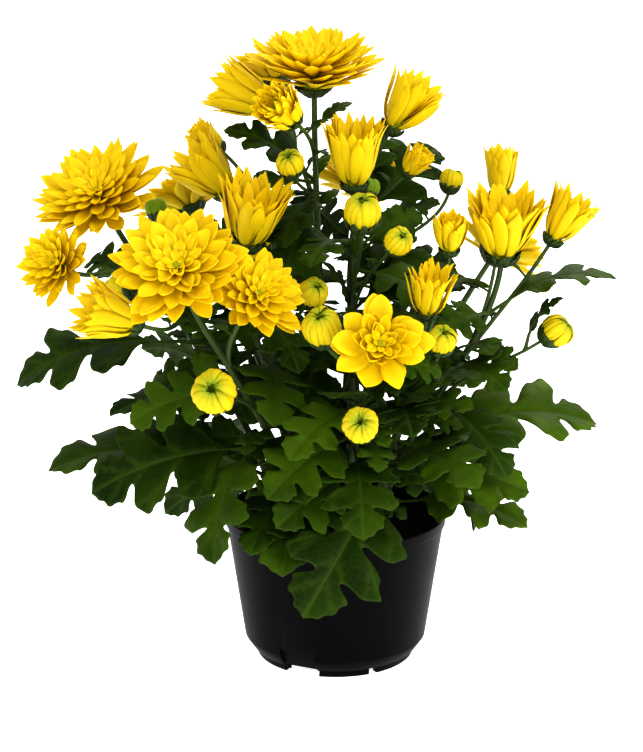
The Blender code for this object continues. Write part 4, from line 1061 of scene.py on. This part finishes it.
def inner_leaves(shoot, fine, room, rand):
    """Leaves of the main stem that fill the inside of the plant, each where there is room for it."""
    found = []
    for _ in range(INNER_LEAVES):
        for attempt in range(INNER_TRIES):
            fork = on_curve(fine, rand.uniform(0.30, 0.90))
            length = rand.uniform(0.036, 0.066) * (1.0 - 0.0075 * attempt)
            azimuth, pitch = rand.uniform(0, 360), rand.uniform(-34, 26)
            roll = -LEAF_ROLL * math.sin(math.radians(azimuth - 90.0)) + rand.uniform(-26, 26)
            matrix = leaf_frame(fork[0], azimuth, pitch + LEAF_TIP_DROP, roll)
            if within_plant(matrix, length) and room.take(shoot, matrix, length, INNER_GAP, 1.0):
                found.append(Added("inner", matrix, length, fork))
                break
    return found


def young_leaves(shoot, fine, room, rand):
    """Small leaves on the stalks, each where there is room for it."""
    found = []
    for head in shoot.heads[1:]:
        line = fine_stalk(head, fine)
        for share in YOUNG_PLACES:
            for _ in range(YOUNG_TRIES):
                fork = along(line, share + rand.uniform(-0.03, 0.06))
                length = rand.uniform(0.013, 0.024)
                azimuth, pitch = rand.uniform(0, 360), rand.uniform(0, 50)
                matrix = leaf_frame(fork[0], azimuth, pitch + LEAF_TIP_DROP, rand.uniform(-30, 30))
                if room.take(shoot, matrix, length, YOUNG_GAP, YOUNG_WIDTH):
                    found.append(Added("young", matrix, length, fork))
                    break
    return found


def leaf_piece(shoot, number, fine, leaves, plans, room):
    """The leaves of a shoot: those of the solid where the solid has them, and the added ones."""
    main = main_line(shoot)
    lines = [main] + [stalk_curve(head, along(main, head.fork), STALK_STEPS) for head in shoot.heads[1:]]
    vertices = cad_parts[shoot.name].data.vertices
    tree = KDTree(len(vertices))
    for i, vertex in enumerate(vertices):
        tree.insert(vertex.co, i)
    tree.balance()
    rand = np.random.RandomState(500 + number)
    made = Gather()

    def add(kind, i, *place, **tone):
        choice = plans[kind]
        add_leaf(made, choice[(i + number) % len(choice)], *place, rand, **tone)

    for i, leaf in enumerate(leaves):
        found = find_leaf(leaf, lines[leaf.stem], tree)
        if found is None:
            continue
        if leaf.stem:
            fork = along(fine_stalk(shoot.heads[leaf.stem], fine), leaf.along)
        else:
            fork = on_curve(fine, leaf.along)
        kind = "small" if found[1] < SMALL_LEAF else "grown"
        # Painted light: single leaves get a tone that paints them paler as if sunlit, and one darker
        add(kind, i, *found, fork, paler=PAINTED_LEAF_LIGHT.get((shoot.name, i), 0.0))
    added = inner_leaves(shoot, fine, room, rand) + young_leaves(shoot, fine, room, rand)
    for i, leaf in enumerate(added):
        add(leaf.kind, i, leaf.matrix, leaf.length, leaf.fork)
    made.make(shoot.name + "_leaves", "leaves", shoot.name)


# Pot and soil

# The pot's profile from the middle of its floor, up inside, over the rim and down to its underside's middle
POT_PROFILE = (
    (0.0, 0.0072), (0.0420, 0.0072), (0.05303, 0.0240), (0.0619, 0.0846), (0.0622, 0.0850),
    (0.0637, 0.0850), (0.0640, 0.0847), (0.0637, 0.0795), (0.0635, 0.0790), (0.06257, 0.0788),
    (0.06243, 0.0778), (0.05262, 0.0118), (0.0525, 0.0112), (0.0480, 0.0048), (0.0477, 0.0045),
    (0.0458, 0.0045), (0.04545, 0.0003), (0.0452, 0.0), (0.0412, 0.0), (0.0410, 0.0002),
    (0.0410, 0.0058), (0.0070, 0.0058), (0.0070, 0.0), (0.0, 0.0),
)
POT_AROUND = 144
POT_BEVEL = 0.0003
# The slanted recesses in the foot of the wall, the openings in the foot ring below them, and the notches in
# the ring
RECESS_AZIMUTHS = (5.0, 125.0, 245.0)
RECESS_LOW = Vector((0.0432, 0.0, 0.0018))
RECESS_HIGH = Vector((0.0527, 0.0, 0.0176))
RECESS_OUT = 0.020
RECESS_WIDTH = 0.021
OPENING_AT = (0.0490, 0.0, 0.0005)
OPENING_SIZE = (0.0180, 0.0206, 0.0076)
NOTCH_AZIMUTHS = (58.0, 178.0, 298.0)
NOTCH_AT = (0.041, 0.0, 0.0)
NOTCH_SIZE = (0.014, 0.0050, 0.0082)

SOIL_TOP = 0.0745
SOIL_DOME = 0.0022
SOIL_RADIUS = 0.0599
SOIL_RINGS = 34
SOIL_AROUND = 96
SOIL_FOOT = ((0.0525, 0.0246), (0.0412, 0.0078), (0.0, 0.0078))
CRUMBS = 900
CRUMBS_WITHIN = 0.0587
CRUMB_SIZES = (0.0006, 0.0009, 0.0014, 0.0021)
CRUMB_SHARES = (0.42, 0.34, 0.18, 0.06)


def cutter_box(size, matrix):
    bm = bmesh.new()
    bmesh.ops.create_cube(bm, size=1.0)
    bmesh.ops.scale(bm, vec=size, verts=bm.verts)
    mesh = bpy.data.meshes.new("cutter")
    bm.to_mesh(mesh)
    bm.free()
    obj = link("cutter", mesh)
    obj.matrix_world = matrix
    return obj


def pot_cutters():
    """The boxes that cut the recesses, the openings and the notches."""
    slant = RECESS_HIGH - RECESS_LOW
    lean = Matrix.Rotation(math.atan2(slant.x, slant.z), 4, "Y")
    out = Matrix.Translation((RECESS_OUT / 2, 0.0, 0.0))
    recess = Matrix.Translation((RECESS_LOW + RECESS_HIGH) / 2) @ lean @ out
    cutters = []
    for azimuths, size, place in (
        (RECESS_AZIMUTHS, (RECESS_OUT, RECESS_WIDTH, slant.length), recess),
        (RECESS_AZIMUTHS, OPENING_SIZE, Matrix.Translation(OPENING_AT)),
        (NOTCH_AZIMUTHS, NOTCH_SIZE, Matrix.Translation(NOTCH_AT)),
    ):
        cutters += [cutter_box(size, Matrix.Rotation(math.radians(a), 4, "Z") @ place) for a in azimuths]
    return cutters


def pot_piece():
    """The pot, turned finely, with the same recesses and notches in its foot as the solid."""
    mesh = bpy.data.meshes.new("pot_moulded")
    points, faces = turned(POT_PROFILE, POT_AROUND, down=True)
    mesh.from_pydata(points.tolist(), [], faces)
    pot = link("pot_moulded", mesh)
    cutters = pot_cutters()
    for cutter in cutters:
        cut = pot.modifiers.new("cut", "BOOLEAN")
        cut.operation = "DIFFERENCE"
        cut.object = cutter
        cut.solver = "EXACT"
    bevel = pot.modifiers.new("edges", "BEVEL")
    bevel.width = POT_BEVEL
    bevel.segments = 2
    bevel.limit_method = "ANGLE"
    bevel.angle_limit = math.radians(50)
    graph = bpy.context.evaluated_depsgraph_get()
    done = bpy.data.meshes.new_from_object(pot.evaluated_get(graph))
    pot.modifiers.clear()
    pot.data = done
    for cutter in cutters:
        bpy.data.objects.remove(cutter)
    bm = bmesh.new()
    bm.from_mesh(done)
    bmesh.ops.dissolve_degenerate(bm, dist=2e-6, edges=bm.edges[:])
    bmesh.ops.triangulate(bm, faces=[f for f in bm.faces if len(f.verts) > 4])
    bm.to_mesh(done)
    bm.free()
    done.set_sharp_from_angle(angle=math.radians(40))
    dress(pot, "pot", "pot")


def lump(rand, size):
    """One crumb: a ball with an uneven surface."""
    bm = bmesh.new()
    bmesh.ops.create_icosphere(bm, subdivisions=1, radius=size)
    points = np.array([tuple(v.co) for v in bm.verts])
    faces = [[v.index for v in f.verts] for f in bm.faces]
    bm.free()
    stretch = rand.uniform(0.6, 1.25, 3)
    return points * stretch * rand.uniform(0.75, 1.2, (len(points), 1)), faces


def soil_height(x, y):
    coarse = 0.0006 * np.sin(310 * x + 2 * np.sin(190 * y)) * np.sin(270 * y + 1.4)
    fine = 0.0004 * np.sin(730 * x) * np.sin(690 * y + 2)
    return SOIL_TOP + SOIL_DOME * (1 - (x * x + y * y) / SOIL_RADIUS**2) + coarse + fine


def soil_piece():
    """The soil: an uneven top, a plain side below it, and crumbs lying on it."""
    rand = np.random.RandomState(7)
    rings = [(SOIL_RADIUS * i / SOIL_RINGS, 0.0) for i in range(SOIL_RINGS + 1)]
    points, faces = turned([*rings, *SOIL_FOOT], SOIL_AROUND, down=True)
    top = slice(0, 1 + SOIL_RINGS * SOIL_AROUND)
    points[top, 2] = soil_height(points[top, 0], points[top, 1])
    made = Gather()
    made.add(points, faces, tone=0.0)
    for _ in range(CRUMBS):
        angle = rand.uniform(0, 2 * math.pi)
        out = math.sqrt(rand.uniform(0, 1)) * CRUMBS_WITHIN
        size = rand.choice(CRUMB_SIZES, p=CRUMB_SHARES)
        points, faces = lump(rand, size)
        x, y = out * math.cos(angle), out * math.sin(angle)
        made.add(points + (x, y, soil_height(x, y) + 0.2 * size), faces, tone=rand.uniform(-1, 1))
    made.make("soil_surface", "soil", "soil")


# Materials

def fill(tree, node, inputs):
    """Sets a node's inputs, each from a value or from another node's output."""
    for key, value in inputs.items():
        if isinstance(value, bpy.types.NodeSocket):
            tree.links.new(value, node.inputs[key])
        else:
            node.inputs[key].default_value = value


def add_node(tree, kind, inputs=None, **settings):
    node = tree.nodes.new(kind)
    for key, value in settings.items():
        setattr(node, key, value)
    fill(tree, node, inputs or {})
    return node


def calculate(tree, operation, *values, clamp=False):
    inputs = dict(enumerate(values))
    return add_node(tree, "ShaderNodeMath", inputs, operation=operation, use_clamp=clamp).outputs[0]


def linear(tree, value, factor, plus=0.0, clamp=False):
    return calculate(tree, "MULTIPLY_ADD", value, factor, plus, clamp=clamp)


def attribute(tree, name, output="Fac"):
    return add_node(tree, "ShaderNodeAttribute", attribute_name=name).outputs[output]


def parts_of(tree, name):
    """The three numbers of a vector attribute."""
    return add_node(tree, "ShaderNodeSeparateXYZ", {0: attribute(tree, name, "Vector")}).outputs


def vector(tree, x, y, z):
    return add_node(tree, "ShaderNodeCombineXYZ", {0: x, 1: y, 2: z}).outputs[0]


def mix_colour(tree, factor, a, b):
    a, b = (c if isinstance(c, bpy.types.NodeSocket) else (*c, 1.0) for c in (a, b))
    inputs = {0: factor, 6: a, 7: b}
    return add_node(tree, "ShaderNodeMix", inputs, data_type="RGBA", clamp_factor=True).outputs[2]


def ramp(tree, factor, *stops):
    node = add_node(tree, "ShaderNodeValToRGB", {0: factor})
    elements = node.color_ramp.elements
    while len(elements) < len(stops):
        elements.new(0.5)
    for element, (place, colour) in zip(elements, stops):
        element.position = place
        element.color = (*colour, 1.0)
    return node.outputs[0]


def noise(tree, place, scale, detail=3.0, roughness=0.5):
    inputs = {"Vector": place, "Scale": scale, "Detail": detail, "Roughness": roughness}
    return add_node(tree, "ShaderNodeTexNoise", inputs).outputs[0]


def bump(tree, height, strength, distance):
    inputs = {"Height": height, "Strength": strength, "Distance": distance}
    return add_node(tree, "ShaderNodeBump", inputs).outputs[0]


def start_material(name):
    made = bpy.data.materials.new(name)
    made.use_nodes = True
    return made, made.node_tree, made.node_tree.nodes["Principled BSDF"]


def object_place(tree):
    return add_node(tree, "ShaderNodeTexCoord").outputs["Object"]


def petal_material():
    made, tree, shader = start_material("petals")
    run, across, tone = parts_of(tree, "petal")
    stretched = vector(tree, linear(tree, run, 1.6), linear(tree, across, 5.0), linear(tree, tone, 17.0))
    streak = noise(tree, stretched, 1.8, 4.0, 0.6)
    # Painted light: the colour runs from pale at the roots and the inner petals, where shade falls among the
    # petals, to a deeper yellow at the tips, where most light falls, so it evens out the shading; real petals
    # are also a little paler at the root
    shade = linear(tree, run, 0.70, 0.24)
    shade = linear(tree, attribute(tree, "depth"), -0.34, shade)
    shade = linear(tree, streak, 0.20, shade)
    shade = linear(tree, tone, 0.06, shade, clamp=True)
    yellow = ramp(
        tree, shade, (0.0, (0.80, 0.600, 0.003)), (0.30, (0.80, 0.580, 0.003)), (0.62, (0.76, 0.530, 0.003)),
        (1.0, (0.70, 0.480, 0.004)),
    )
    leafy = mix_colour(tree, streak, (0.10, 0.19, 0.012), (0.30, 0.42, 0.020))
    fill(tree, shader, {
        "Base Color": mix_colour(tree, attribute(tree, "green"), yellow, leafy),
        "Roughness": linear(tree, streak, 0.20, 0.50),
        "Subsurface Weight": 0.2,
        "Subsurface Radius": (1.0, 0.62, 0.06),
        "Subsurface Scale": 0.004,
        "Specular IOR Level": 0.25,
        "Normal": bump(tree, streak, 0.25, 0.0005),
    })
    return made


def stem_material():
    made, tree, shader = start_material("stems")
    place = object_place(tree)
    rough = noise(tree, place, 420.0, 4.0, 0.6)
    broad = noise(tree, place, 45.0, 2.0)
    dark = mix_colour(tree, broad, (0.016, 0.034, 0.003), (0.042, 0.078, 0.009))
    light = mix_colour(tree, broad, (0.050, 0.092, 0.014), (0.095, 0.150, 0.030))
    colour = mix_colour(tree, attribute(tree, "green"), dark, light)
    calyx = linear(tree, attribute(tree, "depth"), 0.55)
    fill(tree, shader, {
        "Base Color": mix_colour(tree, calyx, colour, (0.014, 0.034, 0.004)),
        "Roughness": linear(tree, rough, 0.25, 0.45),
        "Normal": bump(tree, linear(tree, parts_of(tree, "petal")[1], 0.3, rough), 0.4, 0.0004),
    })
    return made


def leaf_material():
    made, tree, shader = start_material("leaves")
    run, across, tone = parts_of(tree, "flat")
    vein, side, margin = (attribute(tree, name) for name in ("vein", "side", "margin"))
    cells = {"Vector": vector(tree, run, across, tone), "Scale": 26.0}
    cells = add_node(tree, "ShaderNodeTexVoronoi", cells, feature="DISTANCE_TO_EDGE").outputs["Distance"]
    net = calculate(tree, "SMOOTH_MIN", linear(tree, cells, 5.0), 1.0, 0.2)
    place = object_place(tree)
    broad = noise(tree, place, 28.0, 3.0, 0.55)
    fine = noise(tree, place, 900.0, 3.0, 0.6)
    shade = linear(tree, tone, 0.26, broad, clamp=True)
    # The palest stop is mostly reached by the leaves painted paler as if sunlit (painted light)
    top = ramp(
        tree, shade, (0.20, (0.009, 0.024, 0.0006)), (0.50, (0.024, 0.054, 0.0010)),
        (0.80, (0.056, 0.105, 0.0016)), (1.00, (0.110, 0.200, 0.0030)),
    )
    top = mix_colour(tree, linear(tree, net, -0.22, 0.22), top, (0.034, 0.066, 0.003))
    top = mix_colour(tree, linear(tree, vein, 0.62), top, (0.060, 0.105, 0.010))
    under = mix_colour(tree, shade, (0.026, 0.050, 0.010), (0.048, 0.080, 0.020))
    under = mix_colour(tree, linear(tree, vein, 0.7), under, (0.090, 0.135, 0.040))
    rim = linear(tree, linear(tree, margin, -60.0, 1.0, clamp=True), 0.35)
    fill(tree, shader, {
        "Base Color": mix_colour(tree, rim, mix_colour(tree, side, top, under), (0.060, 0.105, 0.014)),
        "Roughness": linear(tree, side, 0.15, linear(tree, broad, 0.18, 0.40)),
        "Specular IOR Level": 0.10,
        "Normal": bump(tree, linear(tree, fine, 0.25, net), 0.20, 0.0004),
    })
    return made


def pot_material():
    made, tree, shader = start_material("pot_plastic")
    place = object_place(tree)
    broad = noise(tree, place, 30.0, 3.0, 0.6)
    dust = linear(tree, noise(tree, place, 160.0, 5.0, 0.7), 0.8, -0.46, clamp=True)
    plastic = mix_colour(tree, broad, (0.0016, 0.0016, 0.0020), (0.0034, 0.0034, 0.0042))
    fill(tree, shader, {
        "Base Color": mix_colour(tree, dust, plastic, (0.014, 0.013, 0.011)),
        "Roughness": linear(tree, broad, 0.16, 0.36),
        "Specular IOR Level": 0.075,
        "Normal": bump(tree, noise(tree, place, 1400.0, 3.0, 0.6), 0.12, 0.0002),
    })
    return made


def soil_material():
    made, tree, shader = start_material("soil")
    rough = noise(tree, object_place(tree), 700.0, 6.0, 0.7)
    shade = linear(tree, attribute(tree, "tone"), 0.2, rough, clamp=True)
    fill(tree, shader, {
        "Base Color": ramp(
            tree, shade, (0.25, (0.008, 0.005, 0.004)), (0.55, (0.030, 0.018, 0.011)),
            (0.85, (0.085, 0.052, 0.030)),
        ),
        "Roughness": 0.95,
        "Normal": bump(tree, rough, 0.9, 0.0012),
    })
    return made


# Camera, light and floor

CAMERA_PLACE = (-0.008, -1.2, 0.4924)
CAMERA_DOWN = 15.25
SENSOR = 36.0
PICTURE_HEIGHT = 752
FOCAL_LENGTH_PIXELS = 2186
PLANT_HEART = (0, 0, 0.2)
# Each lamp's name, place, target, size and power
LAMPS = (
    ("key", (-0.7, -1.5, 1.8), PLANT_HEART, 1.2, 7.5),
    ("fill", (1.5, -1.1, 1.2), PLANT_HEART, 1.2, 16.0),
    ("low", (-0.2, -1.9, 0.30), (0, 0, 0.27), 1.3, 8.5),
    ("back", (0.4, 1.6, 1.6), PLANT_HEART, 1.3, 12.0),
    ("top", (0.0, 0.0, 2.0), PLANT_HEART, 1.2, 7.0),
)
WHITE = (1.0, 1.0, 1.0, 1.0)
SKY_STRENGTH = 0.58
FLOOR_HALF = 15
FLOOR_COLOUR = (0.92, 0.92, 0.92, 1.0)
FLOOR_GLOW = 0.62


def build_camera():
    camera = bpy.data.cameras.new("camera")
    camera.sensor_width = SENSOR
    camera.lens = FOCAL_LENGTH_PIXELS / PICTURE_HEIGHT * SENSOR
    camera.clip_start, camera.clip_end = 0.05, 60.0
    stand = link("camera", camera)
    stand.location = CAMERA_PLACE
    stand.rotation_euler = (math.radians(90.0 - CAMERA_DOWN), 0.0, 0.0)
    bpy.context.scene.camera = stand


def build_light():
    for name, place, target, size, power in LAMPS:
        light = bpy.data.lights.new(name, "AREA")
        light.size = size
        light.energy = power
        lamp = link(name, light)
        lamp.location = place
        lamp.rotation_euler = (Vector(place) - Vector(target)).to_track_quat("Z", "Y").to_euler()
    world = bpy.data.worlds.new("studio")
    bpy.context.scene.world = world
    world.use_nodes = True
    fill(world.node_tree, world.node_tree.nodes["Background"], {0: WHITE, 1: SKY_STRENGTH})
    bpy.context.scene.view_settings.view_transform = "Standard"
    bpy.context.scene.view_settings.look = "High Contrast"


def build_floor():
    made, tree, shader = start_material("floor")
    fill(tree, shader, {
        "Base Color": FLOOR_COLOUR, "Roughness": 0.9, "Specular IOR Level": 0.1,
        "Emission Color": WHITE, "Emission Strength": FLOOR_GLOW,
    })
    mesh = bpy.data.meshes.new("floor")
    corners = [(x * FLOOR_HALF, y * FLOOR_HALF, 0) for x, y in ((-1, -1), (1, -1), (1, 1), (-1, 1))]
    mesh.from_pydata(corners, [], [(0, 1, 2, 3)])
    mesh.materials.append(made)
    floor = link("floor", mesh)


# The whole

MATERIALS = {
    "petals": petal_material(), "stems": stem_material(), "leaves": leaf_material(), "pot": pot_material(),
    "soil": soil_material(),
}


def build_plant():
    """The plant. The source of the solids makes the same random draws, a turn for each head and then what its
    petals take, and after them those of the ruled leaves."""
    draws = random.Random(SEED)
    number = 0
    for shoot in SHOOTS:
        for head in shoot.heads:
            turn = draws.random()
            for _ in range(3 * CAD_RING_PETALS[head.form]):
                draws.random()
            head_piece(head, turn, number)
            number += 1
    plans = {
        kind: [leaf_plan(seed, spacing, lobes, corners) for seed in seeds]
        for kind, (spacing, lobes, corners, seeds) in LEAF_KINDS.items()
    }
    room = Room()
    for number, shoot in enumerate(SHOOTS):
        fine = main_curve(shoot, MAIN_FINE_STEPS)
        stem_piece(shoot, number, fine)
        leaves = [*shoot.leaves, *ruled_leaves(shoot, main_line(shoot), draws)]
        leaf_piece(shoot, number, fine, leaves, plans, room)


build_plant()
pot_piece()
soil_piece()
build_camera()
build_light()
build_floor()
